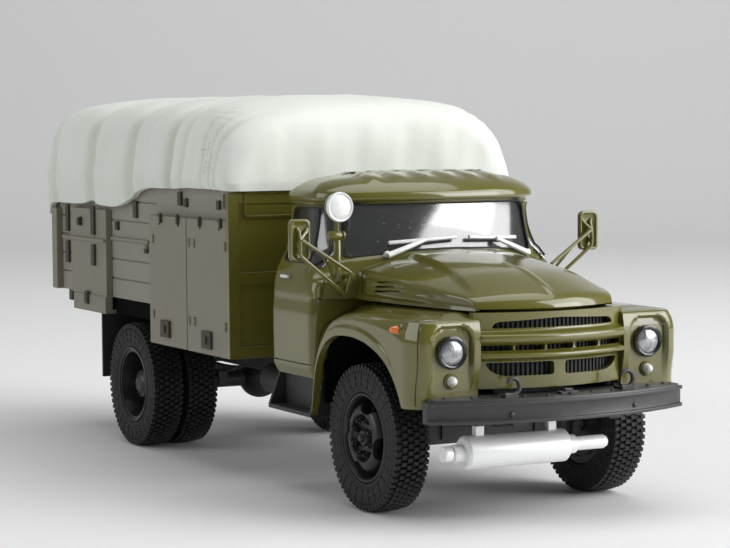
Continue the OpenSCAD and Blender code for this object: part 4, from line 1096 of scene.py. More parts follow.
@dataclass
class Hood:
    """The hood with its raised middle, side bands and louvres."""

    # Columns: place from the front axle, half width, top of the side, crown, bow.
    rows: Table = (
        (-11.7, 17.0, 37.6, 40.25, 1.5), (-9, 16.9, 37.4, 40.1, 1.6), (-3, 16.6, 37.0, 39.6, 1.9),
        (4, 16.0, 36.4, 38.8, 2.3), (11, 15.0, 35.7, 37.8, 2.8), (16, 14.1, 35.2, 36.7, 3.3),
        (19.2, 13.4, 34.8, 35.6, 3.7), (20.8, 12.9, 34.3, 34.7, 3.8), (21.45, 12.6, 33.5, 33.7, 3.8),
        (21.55, 12.55, 33.1, 33.2, 3.8))
    low: float = 32.85
    wall: float = 1.0
    # Heights of the raised middle, of its spine and of the side bands.
    step_h: float = 0.7
    spine_h: float = 0.18
    band_h: float = 0.55
    # Half width of the raised middle, by place from the front axle.
    step_edge: Table = ((-12, 8.6), (2, 9.4), (12, 11.0), (20, 12.2))
    # A louvre's corners from its own height, then the lowest louvre, their pitch and number.
    louvre: Table = ((-6.8, -0.16), (1.6, 0.34), (1.6, 0.62), (-6.8, 0.14))
    louvre_z: float = 34.55
    louvre_pitch: float = 0.72
    louvres: int = 3
    louvre_y: tuple[float, float] = (15.9, 18.2)
    seam_x: float = -10.4

    def grid(self) -> np.ndarray:
        """The hood's outer points, by place along it and across it."""
        place = column(self.rows, 0)
        x0 = np.unique(np.concatenate([np.linspace(a, b, int(math.ceil((b - a) / 0.6)) + 2)
                                       for a, b in zip(place, place[1:])]))
        w, side, crown, bow = (look(self.rows, k, x0)[:, None] for k in (1, 2, 3, 4))
        s = np.linspace(-1, 1, 141)[None, :]
        over = np.clip((np.abs(s) - 0.8) / 0.2, 0, 1)
        t = np.minimum(np.abs(s) / 0.8, 1)
        y = w * (t - 0.06 * over * (1 - over)) * np.sign(s)
        z = np.where(over > 0, side - (side - self.low) * over, crown - (crown - side) * t**2.4)
        for _ in range(14):
            z[:, 1:-1] = (z[:, :-2] + 2 * z[:, 1:-1] + z[:, 2:]) / 4
            y[:, 1:-1] = (y[:, :-2] + 2 * y[:, 1:-1] + y[:, 2:]) / 4
        along = x0[:, None]
        edge = look(self.step_edge, 1, along)
        raised = smooth(edge + 0.5, edge - 0.5, np.abs(y))
        z = z + self.step_h * raised * smooth(19.5, 10, along) * smooth(-11.9, -8.5, along)
        z = z + self.spine_h * smooth(0.8, 0.1, np.abs(y)) * smooth(4, 9, along) * smooth(20.6, 19, along)
        band = smooth(0.86, 0.89, np.abs(s)) * smooth(0.975, 0.945, np.abs(s)) * smooth(-9.2, -8.2, along)
        band = band * smooth(13, 3, along)
        y = y + np.sign(s) * self.band_h * band
        x = AT.front_x + along - bow * (y / w) ** 2
        return np.stack([x, y, np.maximum(z, self.low)], axis=-1)

    def build(self) -> None:
        """Makes the hood and cuts its louvres and rear seam."""
        outer = self.grid()
        inner = outer.copy()
        inner[..., 1] *= 1 - self.wall / 15
        inner[..., 2] = np.maximum(inner[..., 2] - self.wall, self.low)
        inner[..., 0] -= 0.4 * smooth(15, 21, inner[..., 0] - AT.front_x)
        inner[:, [0, -1], 2] = self.low
        draft = MeshDraft()
        draft.skin(outer, inner, False)
        hood = draft.piece("hood_panel", Paint.OLIVE.value, 50)
        cut = MeshDraft()
        for side in SIDES:
            for k in range(self.louvres):
                z = self.louvre_z + self.louvre_pitch * k
                slot = rounded([(x, z + dz) for x, dz in self.louvre], 0.14, 3)
                cut.prism(slot + (AT.front_x, 0), 1, *sorted(side * y for y in self.louvre_y))
        middle = outer.shape[1] // 2
        row = int(np.argmin(np.abs(outer[:, middle, 0] - AT.front_x - self.seam_x)))
        seam = outer[row, 3:-3]
        cut.ribbon(seam, seam * (0, 1, 1) - (0, 0, 28), 0.4, 0.45, 0.4)
        carve(hood, cut, 50)
        settle(hood, "truck", "olive_gloss", "hood")


@dataclass
class Fenders:
    """Front fenders with raised arch edges and lamp pods."""

    lip: Table = (
        (-14.4, 14), (-13.6, 18.5), (-12.7, 22), (-11, 24.8), (-8.5, 26.8), (-5, 27.9), (-1, 28.1),
        (3.5, 27.7), (7.5, 26.6), (10.5, 25), (13, 22.6), (15, 19.8), (15.8, 18.4), (20, 18.4))
    crest: Table = (
        (-14.4, 21), (-13.6, 23.8), (-12.4, 25.7), (-10.3, 28.4), (-8, 30.2), (-4, 31.3), (0, 31.6),
        (20, 31.6))
    # Columns: share of the way up to the crest, inset.
    side: Table = ((0, 0), (0.75, 0), (0.88, 0.25), (1, 0.9))
    # Columns: inset, share of the crest's fall left out, rise over the crest.
    top: Table = ((0.9, 0, 0), (2.2, 0.15, 0.25), (4.5, 0.5, 0.5), (7.5, 0.85, 0.8), (10.6, 1, 1))
    half_w: float = 24.5
    nose: float = 19.3
    corner_r: float = 3.5
    inner_y: float = 13.1
    wall: float = 1.1
    flare: float = 0.42
    lamp_y: float = 17.9
    crest_z: float = 31.6
    # Columns of the plan: across the nose, round the corner, along the side.
    cols: tuple[int, int, int] = (44, 17, 84)

    def path(self, d: float) -> tuple[np.ndarray, np.ndarray]:
        """Plan of the fender at an inset, from the grille round to the door.

        Args:
            d: The inset.

        Returns:
            Places along and across the truck.
        """
        nose, side, r = self.nose - 0.5 * d, self.half_w - d, max(self.corner_r - 0.3 * d, 0.5)
        inner = min(self.inner_y, side - r - 0.2)
        across, turn, along = self.cols
        a = np.radians(np.linspace(0, 90, turn))
        x = np.concatenate([np.full(across, nose), nose - r + r * np.cos(a),
                            np.linspace(nose - r - 0.25, self.lip[0][0], along)])
        y = np.concatenate([np.linspace(inner, side - r, across + 1)[:-1], side - r + r * np.sin(a),
                            np.full(along, side)])
        return x, y

    def grid(self, inset: float) -> np.ndarray:
        """The left fender's points at an inset.

        Args:
            inset: How far inside the outer face.

        Returns:
            Points by row from the lip up, and round the plan.
        """
        rows = []
        for share in np.concatenate([np.linspace(0, 0.3, 16), np.linspace(0.3, 1, 34)[1:]]):
            x, y = self.path(float(look(self.side, 1, share)) + inset)
            lip = look(self.lip, 1, x)
            crest = look(self.crest, 1, x)
            climb = share * (crest - lip - inset)
            y = y + self.flare * smooth(1.75, 1.25, share * (crest - lip)) * smooth(14, 6, x)
            x, y = self.pod(x, y, lip + climb, inset)
            rows.append(np.stack([x + AT.front_x, y, lip + climb], -1))
        for d in np.linspace(0.9, 10.6, 22)[1:]:
            x, y = self.path(float(d) + inset)
            crest = look(self.crest, 1, x)
            left, rise = (float(look(self.top, k, d)) for k in (1, 2))
            z = crest + (self.crest_z - crest) * left + rise - inset
            x, y = self.pod(x, y, z, inset)
            rows.append(np.stack([x + AT.front_x, y, z], -1))
        return np.array(rows)

    def pod(self, x: np.ndarray, y: np.ndarray, z: np.ndarray, inset: float) -> tuple[np.ndarray, np.ndarray]:
        """Raises the brow and rim round a lamp's recess.

        Args:
            x: Places along the truck.
            y: Places across it.
            z: Heights.
            inset: How far inside the outer face.

        Returns:
            The moved places.
        """
        if inset:
            return x, y
        u, v = np.abs(y - self.lamp_y) / 3.5, np.clip(z - 27.3, 0, None) / 3.55
        far = (u**3.2 + v**3.2) ** (1 / 3.2)
        rim = smooth(0.91, 1.06, far) * smooth(20.5, 25.5, z) * smooth(16.8, 18.8, x)
        return x + 0.95 * rim * smooth(32.6, 31.4, z), y

    def build(self) -> None:
        """Makes both fenders and cuts the pod's seam."""
        outer, inner = self.grid(0), self.grid(self.wall)
        seam_col = self.cols[0] + self.cols[1] // 2
        for side, name in HANDS:
            flip = np.array([1, side, 1])
            draft = MeshDraft()
            draft.skin(outer * flip, inner * flip, False)
            piece = draft.piece(f"fender_panel_{name}", Paint.OLIVE.value, 50)
            path = outer[2:62, seam_col] * flip
            out = path - (np.array([AT.front_x + 12, side * 17, 0]) * (1, 1, 0) + path * (0, 0, 1))
            cut = MeshDraft()
            cut.ribbon(path, out, 0.22, 0.3, 0.4)
            carve(piece, cut, 50)
            settle(piece, "truck", "olive_gloss", f"fender_{name}")


@dataclass
class Grille:
    """The bowed grille panel with two ridges and its openings."""

    radius: float = 30
    front: float = 22
    half_w: float = 13.6
    low: float = 21
    high: float = 32.7
    thick: float = 1.2
    slot: Table = ((-11.2, 30.25), (11.2, 30.25), (10.4, 31.25), (0, 31.75), (-10.4, 31.25))
    # Number, pitch and half width of the middle openings, then their lower and upper edge.
    vents: int = 5
    vent_pitch: float = 5.15
    vent_half: float = 2.4
    vent_z: tuple[float, float] = (26.85, 27.7)
    low_hole: Table = ((1.0, 22.9), (8.8, 22.9), (10.4, 23.25), (11.5, 24.0), (12.0, 25.0), (1.0, 25.0))

    def ridge(self, z: np.ndarray) -> np.ndarray:
        """How far the panel stands out at a height."""
        return (1.35 * np.exp(-((z - 28.75) / 0.9) ** 4) + 1.15 * np.exp(-((z - 26.05) / 0.6) ** 4)
                + 0.2 * smooth(25.3, 25.9, z) * smooth(29.8, 29.2, z))

    def build(self) -> None:
        """Makes the panel, cuts its openings and closes the space behind it with a near-black backing that
        paints the shade there.
        """
        y = np.linspace(-self.half_w, self.half_w, 91)[None, :]
        z = np.linspace(self.low, self.high, 96)[:, None]
        bow = np.sqrt(self.radius**2 - y**2) - self.radius + AT.front_x + self.front
        ends = smooth(13.7, 13.2, np.abs(y))
        outer = np.stack(np.broadcast_arrays(bow + self.ridge(z) * ends, y, z), -1)
        inner = np.stack(np.broadcast_arrays(bow - self.thick + 0.6 * self.ridge(z) * ends, y, z), -1)
        draft = MeshDraft()
        draft.skin(outer, inner, False)
        panel = draft.piece("grille_face", Paint.OLIVE.value, 50)
        cut = MeshDraft()
        near, far = AT.front_x + 12, AT.front_x + 27
        cut.prism(rounded(self.slot, 0.9, 8), 0, near, far)
        for side in SIDES:
            cut.prism(rounded([(side * a, b) for a, b in self.low_hole], 0.6), 0, near, far)
        low, high = self.vent_z
        for k in range(self.vents):
            mid = (k - self.vents // 2) * self.vent_pitch
            a, b = mid - self.vent_half, mid + self.vent_half
            cut.prism(rounded([(a, low), (b, low), (b, high), (a, high)], 0.35), 0, near, far)
        carve(panel, cut, 50)
        settle(panel, "truck", "olive_gloss", "grille_panel")
        # Near-black plate and side walls behind the openings, painted shade for the space behind the grille.
        draft = MeshDraft()
        draft.box((AT.front_x + 16.4, -13, 21.2), (AT.front_x + 16.9, 13, 32.5))
        for y in (-13.2, 12.8):
            draft.box((AT.front_x + 12, y, 21.2), (AT.front_x + 17.7, y + 0.4, 32.4))
        draft.place("grille_shade_backing", Paint.SHADE_BLACK, "cab_trim", bevel=0.1)


@dataclass
class Cover:
    """The white moulded cover with its folds and hem."""

    # Columns: inset at the sides, inset at the ends, corner radius, height below
    # the crown, share of the bulge between folds; a height of 0 stands for the hem.
    rings: Table = (
        (0, 0, 2.4, 0, 0.35), (0, 0, 2.8, 15.5, 0.8), (0.5, 0.3, 4, 12.3, 1), (0.9, 0.5, 6, 8.8, 1),
        (1.5, 0.9, 8, 6.4, 1), (2.4, 1.5, 10, 4.7, 1), (3.9, 2.6, 12, 3.3, 1), (6.2, 4.4, 13, 2.1, 0.9),
        (10, 7.5, 12, 1.15, 0.7), (15, 12, 9, 0.5, 0), (20.5, 17.5, 6, 0.1, 0))
    # Columns: place from the rear axle, depth, half width, lean of the fold.
    folds: Table = (
        (-38, 0.35, 2.2, 0.0), (-18, 0.95, 3.0, 0.02), (-9.5, 0.25, 1.6, 0.0), (3.2, 0.9, 2.6, 0.05),
        (12.5, 0.2, 1.6, 0.05), (21.6, 1.25, 2.3, 0.08), (28.5, 0.6, 1.6, 0.14), (34.5, 0.25, 0.8, 0.12),
        (38.6, 0.3, 0.5, 0.1), (40.4, 0.28, 0.4, 0.1), (42.2, 0.3, 0.4, 0.1), (44.2, 0.4, 0.6, 0.1))
    # Columns: place from the rear axle, height.
    hem: Table = (
        (-44.5, 43.0), (-42.7, 43.4), (-41.6, 45.4), (-37, 45.8), (-24, 45.9), (-21.5, 46.2),
        (-18.4, 46.7), (-15, 46.1), (-6.9, 45.8), (-2.7, 46.2), (2.2, 47.6), (6.2, 49), (12.7, 49.9),
        (24, 50.0), (30, 50.3), (40, 50.3), (49.4, 50.1))
    crown: float = 67
    half_w: float = 27.6
    front: float = -38.9
    wall: float = 1.1
    bulge: float = 1.7
    rear_share: float = 0.4
    # The seam's stitches: three points of each from the rear axle, then heights and pitch.
    stitch_x: Sequence[float] = (39.5, 41.3, 43.2)
    stitch_z: tuple[float, float] = (51.6, 60.5)
    stitch_pitch: float = 0.75
    stitch_r: float = 0.17

    def fold(self, x: np.ndarray, z: np.ndarray) -> np.ndarray:
        """Depth of the folds at a place and height, as a share of the bulge."""
        place = x - AT.rear_x
        return np.minimum(sum(d * np.exp(-((place - p - lean * (z - 56)) / w) ** 2)
                              for p, d, w, lean in self.folds), 1.35)

    def ring(self, v: float, wall: float) -> np.ndarray:
        """One plan ring of the cover.

        Args:
            v: Place among the table's rings, from 0 at the hem.
            wall: How far inside the outer face.

        Returns:
            Points round the cover.
        """
        at = range(len(self.rings))
        side, end, r, below, swell = (float(through(at, column(self.rings, k), v)) for k in range(5))
        half = self.half_w - side - wall
        front, back = AT.front_x + self.front - end - wall, AT.tail_x + end * self.rear_share + wall
        r = min(r, half - 1)
        tail_r, r = max(r * self.rear_share - wall, 0.6), max(r - wall, 0.6)
        low, high, flat, tail = back + tail_r, front - r, half - r, half - tail_r
        a = np.radians(np.linspace(0, 90, 11))
        bend = high - 0.22 * (high - low)
        run = np.concatenate([np.linspace(high, bend, 72)[1:-1], np.linspace(bend, low, 160)[:-1]])
        x = np.concatenate([np.full(48, front), high + r * np.cos(a), run, low - tail_r * np.sin(a),
                            np.full(47, back), low - tail_r * np.cos(a), run[::-1],
                            high + r * np.sin(a[:-1])])
        y = np.concatenate([np.linspace(-flat, flat, 49)[:-1], flat + r * np.sin(a), np.full(len(run), half),
                            tail + tail_r * np.cos(a), np.linspace(tail, -tail, 49)[1:-1],
                            -tail - tail_r * np.sin(a), np.full(len(run), -half), -flat - r * np.cos(a[:-1])])
        hem = look(self.hem, 1, x - AT.rear_x)
        first = self.crown - self.rings[1][3] - wall
        z = hem + (first - hem) * v if v < 1 else np.full_like(x, self.crown - below - wall)
        reach = np.maximum(np.abs(y) - 15, 0) / (self.half_w - 15)
        tight = 0.3 + 0.7 * smooth(AT.tail_x, AT.tail_x + 10, x)
        out = swell * self.bulge * (1 - self.fold(x, z)) * reach * tight
        y = y + np.sign(y) * out
        z = z + (out - 0.5 * self.bulge * reach) * float(smooth(4, 6.5, v)) * 0.7
        wave = np.sin(0.55 * y + 0.12 * z) * 0.12 + np.sin(1.3 * y - 0.2 * z + 1.1) * 0.05
        x = x + swell * wave * smooth(AT.front_x + self.front - 3, AT.front_x + self.front, x)
        z = z + 0.14 * np.sin((x - AT.tail_x) * 0.3) * np.sin(y * 0.16 + 0.6) * float(smooth(3.5, 6, v))
        return np.stack([x, y, z], -1)

    def build(self) -> None:
        """Makes the cover and the stitches of its front seam."""
        steps = np.concatenate([np.linspace(0, 1, 9), np.linspace(1, len(self.rings) - 1, 51)[1:]])
        outer = np.array([self.ring(float(v), 0) for v in steps])
        inner = np.array([self.ring(float(v), self.wall) for v in steps])
        draft = MeshDraft()
        draft.skin(outer, inner, True)
        piece = draft.piece("cover_moulding", Paint.CANVAS.value, 60)
        settle(piece, "truck", "cover_white", "tarp")
        draft = MeshDraft()
        flank = outer[:36]
        for side in SIDES:
            ends = []
            for place in self.stitch_x:
                away = np.abs(flank[12, :, 0] - AT.rear_x - place) + 99 * (flank[12, :, 1] * side < 20)
                ends.append(flank[:, int(np.argmin(away))])
            for z in np.arange(*self.stitch_z, self.stitch_pitch):
                path = [[np.interp(z, line[:, 2], line[:, k]) for k in (0, 1)] + [z] for line in ends]
                draft.tube(np.array(path), self.stitch_r, 6)
        draft.place("cover_stitches", Paint.CANVAS, "cover_white", angle=60)


@dataclass
class Wheels:
    """Tyres with block treads, the front discs, and the nuts, rims and beads of the wheels."""

    tyre_r: float = 11.85
    lug_h: float = 0.6
    lugs: int = 64
    ribs: int = 84
    # Rows of tread blocks: where each starts and ends as a share of the half width, and its drop.
    tread: Table = (
        (-0.97, -0.7, 0.22), (-0.64, -0.37, 0.04), (-0.31, -0.03, 0), (0.03, 0.31, 0), (0.37, 0.64, 0.04),
        (0.7, 0.97, 0.22))
    # A tyre's side: radius over the seat, then over the tread's base, each with its share of the half width.
    flank: Table = (
        (0, 0.74), (0.25, 0.9), (0.6, 0.93), (0.75, 0.985), (1.0, 0.985), (1.15, 0.95), (1.7, 1), (2.3, 1),
        (2.4, 0.975), (2.6, 0.975), (2.7, 1))
    shoulder: Table = ((-0.9, 0.995), (-0.4, 0.97), (-0.1, 0.94), (0, 0.88), (0.02, 0.4))
    # Radius and place outward of the middle: a front wheel's rim, domed disc and brake drum, and a nut.
    rim: Table = (
        (7.1, -2.5), (7.1, 2.2), (7.2, 2.45), (7.06, 2.64), (6.8, 2.66), (6.6, 2.45), (6.45, 1.9),
        (6.2, 1.3), (6.1, 0.9), (6.05, -2.5))
    disc: Table = (
        (0, 3.5), (0.5, 3.45), (0.7, 3.2), (0.75, 2.9), (1.15, 2.85), (1.3, 2.6), (1.45, 2.0), (3.35, 2.0),
        (3.6, 2.3), (3.75, 2.9), (3.95, 3.1), (4.4, 3.1), (4.9, 2.9), (5.3, 2.55), (5.55, 1.9), (5.7, 0.6),
        (5.9, -0.7), (6.08, -1.0), (6.08, -1.7), (5.6, -1.0), (5.3, 0.5), (5.05, 1.7), (4.6, 2.2),
        (4.0, 2.3), (3.85, 1.6), (3.4, 1.2), (1.7, 1.2), (1.7, -2.8), (0, -2.8))
    drum: Table = (
        (1.6, -2.4), (5.7, -2.4), (5.8, -2.2), (5.8, -1.9), (5.6, -1.75), (1.6, -1.75))
    nut: Table = ((0, -0.1), (0.52, -0.1), (0.52, 0.7), (0.42, 0.9), (0.28, 0.9), (0.28, 1.35), (0, 1.42))
    nuts: int = 8
    # Where the nuts stand outward of the middle, and the radius of their ring.
    front_nuts: tuple[float, float] = (2.0, 2.85)
    rear_nuts: tuple[float, float] = (-2.6, 4.1)
    # Radius, place outward and thickness of the beads of a rear rim.
    beads: Table = ((6.95, 2.62, 0.28), (6.35, 2.45, 0.14))
    windows: int = 4
    window_at: float = 6.4
    window_r: float = 2.35
    window_turn: float = 14
    half: float = 3.0
    seat: float = 7.1
    front_y: float = 20.2
    outer_y: float = 24.1
    inner_y: float = 17.1

    def tyre(self, x: float, y: float) -> MeshDraft:
        """One tyre.

        Args:
            x: Its axle's place along the truck.
            y: Its middle across the truck.

        Returns:
            Its mesh.
        """
        draft = MeshDraft()
        base, h, s = self.tyre_r - self.lug_h, self.half, self.seat
        flank = [(s + d, w * h) for d, w in self.flank] + [(base + d, w * h) for d, w in self.shoulder]
        profile = flank + [(r, -a) for r, a in flank[::-1]]
        middle = np.array([x, y, AT.axle_z])
        draft.lathe(profile, middle, (0, 1, 0), 104, True)
        pitch = 2 * math.pi / self.lugs
        for row, (low, high, drop) in enumerate(self.tread):
            tip, root, shift = self.tyre_r - drop, base - 0.3 - drop, 0.5 * (row % 2)
            for k in range(self.lugs):
                a = (k + shift) * pitch
                rows = ((root, 0.37), (tip - 0.1, 0.31), (tip, 0.26))
                self.block(draft, middle, a, (low * h, high * h), rows, pitch)
        for hand in SIDES:
            for k in range(self.ribs):
                a = k * 2 * math.pi / self.ribs
                long = k % 3 == 0
                low, high = (s + 1.25, base - 0.45) if long else (base - 1.1, base - 0.5)
                sides = sorted((hand * 0.95 * h, hand * (1.025 if long else 1.015) * h))
                self.block(draft, middle, a, sides, ((low, 0.055), (high, 0.045)), pitch)
        return draft

    def block(self, draft: MeshDraft, middle: np.ndarray, a: float, across: Sequence[float], rows: Table,
              pitch: float) -> None:
        """Adds one moulded block that points outward.

        Args:
            draft: The tyre's mesh.
            middle: The tyre's middle.
            a: The block's angle.
            across: Where it starts and ends across the tyre.
            rows: Radius and half width, as a share of the pitch, from its root to its tip.
            pitch: Angle between blocks.
        """
        draft.rings(np.array([[middle + (r * math.sin(b), w, r * math.cos(b))
                               for b, w in ((a - q * pitch, across[0]), (a + q * pitch, across[0]),
                                            (a + q * pitch, across[1]), (a - q * pitch, across[1]))]
                              for r, q in rows]))

    def dish(self, side: int, hand: str) -> bpy.types.Object:
        """A front wheel's disc with its windows.

        Args:
            side: -1 for the right wheel, 1 for the left.
            hand: The side's name.

        Returns:
            The disc.
        """
        middle = (AT.front_x, side * self.front_y, AT.axle_z)
        draft = MeshDraft()
        draft.lathe(self.disc, middle, (0, side, 0), 72)
        disc = draft.piece(f"front_wheel_disc_{hand}", Paint.WHEEL.value, 30)
        cut = MeshDraft()
        t = np.arange(32) * 2 * math.pi / 32
        low, high = sorted((side * (self.front_y - 2.3), side * (self.front_y + 3.8)))
        for k in range(self.windows):
            a = math.radians(self.window_turn + 360 / self.windows * k)
            hole = np.stack([np.cos(t), np.sin(t)], -1) * self.window_r
            hole = hole + (self.window_at * math.sin(a), self.window_at * math.cos(a))
            cut.prism(hole + (AT.front_x, AT.axle_z), 1, low, high)
        carve(disc, cut, 30)
        return disc

    def build(self) -> None:
        """Makes all discs, tyres and wheel fittings."""
        for side, hand in HANDS:
            settle(self.dish(side, hand), "front_wheels", "wheel_black", f"front_wheel_{hand}")
        for pattern, body, x, y in (("front_{}_{}", "front_wheels", AT.front_x, self.front_y),
                                    ("rear_{}_{}_outer", "rear_wheels", AT.rear_x, self.outer_y),
                                    ("rear_{}_{}_inner", "rear_wheels", AT.rear_x, self.inner_y)):
            for side, hand in HANDS:
                self.tyre(x, side * y).place(pattern.format("treaded_tyre", hand), Paint.TYRE, "tyre_rubber",
                                             pattern.format("tyre", hand), angle=28, body=body)
        self.fittings("front_wheels", AT.front_x, self.front_y, self.front_nuts)
        self.fittings("rear_wheels", AT.rear_x, self.outer_y, self.rear_nuts)

    def fittings(self, body: str, x: float, y: float, seat: tuple[float, float]) -> None:
        """Makes an axle's nuts, with the front rims and drums or the rear beads.

        Args:
            body: The body they ride on.
            x: The axle's place along the truck.
            y: The wheels' middle across it.
            seat: Where the nuts stand outward of the middle, and the radius of their ring.
        """
        draft = MeshDraft()
        plane, ring_r = seat
        for side in SIDES:
            middle, axis = (x, side * y, AT.axle_z), (0, side, 0)
            for k in range(self.nuts):
                a = (k + 0.5) * 2 * math.pi / self.nuts
                foot = (x + ring_r * math.sin(a), side * (y + plane), AT.axle_z + ring_r * math.cos(a))
                draft.lathe(self.nut, foot, axis, 6)
            if body == "front_wheels":
                draft.lathe(self.rim, middle, axis, 72, True)
                draft.lathe(self.drum, middle, axis, 72, True)
                continue
            a = np.linspace(0, 2 * math.pi, 73)[:-1]
            for r, w, thick in self.beads:
                across = np.full(len(a), side * (y + w))
                loop = np.stack([x + r * np.sin(a), across, AT.axle_z + r * np.cos(a)], -1)
                draft.tube(loop, thick, 8, True)
        draft.place(body.replace("wheels", "wheel_nuts"), Paint.WHEEL, "wheel_black", angle=30, body=body)


@dataclass
class Mirrors:
    """Mirrors on bent tube brackets."""

    span: float = 59.2
    width: float = 3.7
    height: float = 6.8
    mid_z: float = 42.9
    x: float = -12.7
    foot: tuple[float, float] = (-12.4, 19.55)
    head_z: tuple[float, float] = (43.1, 40.4)
    foot_z: tuple[float, float] = (37.3, 33.7)
    # Columns: how far ahead of the middle, share of the outline; from the back round the rim into the recess.
    section: Table = (
        (-0.6, 0.3), (-0.6, 0.82), (-0.52, 0.94), (-0.3, 1.0), (0.25, 1.0), (0.42, 0.96), (0.48, 0.88),
        (0.44, 0.78), (0.2, 0.72), (0.12, 0.66), (0.1, 0.2))

    def build(self) -> None:
        """Makes both mirrors."""
        draft = MeshDraft()
        mid, w, h = self.span / 2 - self.width / 2, self.width / 2, self.height / 2
        x, foot_x, foot_y = AT.front_x + self.x, AT.front_x + self.foot[0], self.foot[1]
        edge = rounded([(-w, -h), (w, -h), (w, h), (-w, h)], 0.95, 6)
        for side in SIDES:
            flip = np.array([1, side, 1])
            draft.rings(np.array([np.stack([np.full(len(edge), x + d), mid + edge[:, 0] * k,
                                            self.mid_z + edge[:, 1] * (1 - (1 - k) * w / h)], -1) * flip
                                  for d, k in self.section]))
            at = (x + 0.9, mid + 0.25)
            loop = np.array([(*at, self.head_z[0]), (foot_x + 1.4, foot_y - 0.5, self.foot_z[0]),
                             (foot_x + 0.1, foot_y, self.foot_z[1]), (*at, self.head_z[1])])
            draft.tube(denser(rounded(loop, 0.6, 5), 0.9, True) * flip, 0.33, 10, True)
            for reach in (-1.15, 0.75):
                strut = np.array([(x + 0.15, mid - 0.2 + reach, self.mid_z + 1.9),
                                  (x + 0.45, mid - 0.3 + 0.7 * reach, 44.3), (*at, self.head_z[0] - 0.1)])
                draft.tube(strut * flip, 0.3, 8)
            draft.tube(np.array([(x, at[1], 41.3), (at[0], at[1], 41.3)]) * flip, 0.42, 8)
            stay = np.array([(foot_x - 1.3, foot_y - 0.3, 36.6), (foot_x + 1.2, foot_y - 0.45, 36.9)]) * flip
            draft.tube(stay, 0.4, 8)
            draft.box((foot_x - 1.2, side * foot_y - 0.4, 34.2), (foot_x + 0.2, side * foot_y + 0.4, 35.0))
            brace = np.array([(x + 1.05, mid - 3.6, 40.6), (foot_x - 1.1, foot_y + 0.9, 35.4)]) * flip
            draft.tube(brace, 0.26, 8)
        draft.place("mirror_set", Paint.OLIVE, "olive_gloss", "mirrors")


def lens(radius: float, rim: float, rise: float) -> list[tuple[float, float]]:
    """The turned shape of a domed lens.

    Args:
        radius: Its radius.
        rim: Where its dome starts.
        rise: How far the dome rises.

    Returns:
        Radius and place along the axis.
    """
    turn = np.radians(np.linspace(0, 90, 9))
    return [(0, 0.2), (radius, 0.2)] + [(radius * math.cos(t), rim + rise * math.sin(t)) for t in turn]


@dataclass
class Spotlight:
    """The round spotlight on its post at the cab's right corner."""

    at: tuple[float, float, float] = (-12.6, -20.6, 48.1)
    radius: float = 2.4
    foot_z: float = 35.9
    clamp_z: float = 43.4
    ahead: tuple[float, float, float] = (1, 0.06, 0)
    # Radius and place along the axis, for the post and its clamp.
    post: Table = (
        (0, 0), (0.6, 0), (0.62, 0.2), (0.62, 6.6), (0.55, 6.8), (0.36, 6.9), (0.36, 10.4), (0, 10.4))
    clamp: Table = (
        (0, -1.6), (0.55, -1.6), (0.8, -1.3), (0.85, -0.4), (0.8, 0.5), (0.5, 0.6), (0.5, 0.8), (0.74, 0.9),
        (0.74, 1.25), (0.4, 1.45), (0, 1.5))

    def build(self) -> None:
        """Makes the housing with its post, the bright rim and the white lens."""
        x, y, z = AT.front_x + self.at[0], self.at[1], self.at[2]
        r = self.radius
        draft = MeshDraft()
        draft.lathe([(0, -2.0), (0.9, -1.9), (1.6, -1.6), (2.1, -1.1), (r - 0.05, -0.5), (r - 0.02, 0.3),
                     (r - 0.4, 0.35), (r - 0.45, 0.1), (0, 0.1)], (x, y, z), self.ahead, 40)
        post = x - 0.6
        draft.lathe(self.post, (post, y, self.foot_z), (0, 0, 1), 20)
        draft.lathe(self.clamp, (post, y, self.clamp_z), (0, 1, 0), 20)
        draft.box((post - 1.5, y - 0.6, 36.0), (post + 0.3, y + 0.6, 37.2))
        draft.place("spotlight_body", Paint.OLIVE, "olive_gloss", "spotlight", bevel=0.05)
        draft = MeshDraft()
        draft.lathe([(r - 0.45, 0.1), (r, 0.12), (r + 0.08, 0.3), (r + 0.04, 0.6), (r - 0.12, 0.78),
                     (r - 0.3, 0.72), (r - 0.36, 0.5)], (x, y, z), self.ahead, 48, True)
        draft.place("spotlight_rim", Paint.SILVER, "bright_silver")
        draft = MeshDraft()
        draft.lathe(lens(r - 0.32, 0.45, 0.45), (x, y, z), self.ahead, 48)
        draft.place("spotlight_glass", Paint.SPOT, "lamp_glass", "spotlight_lens")


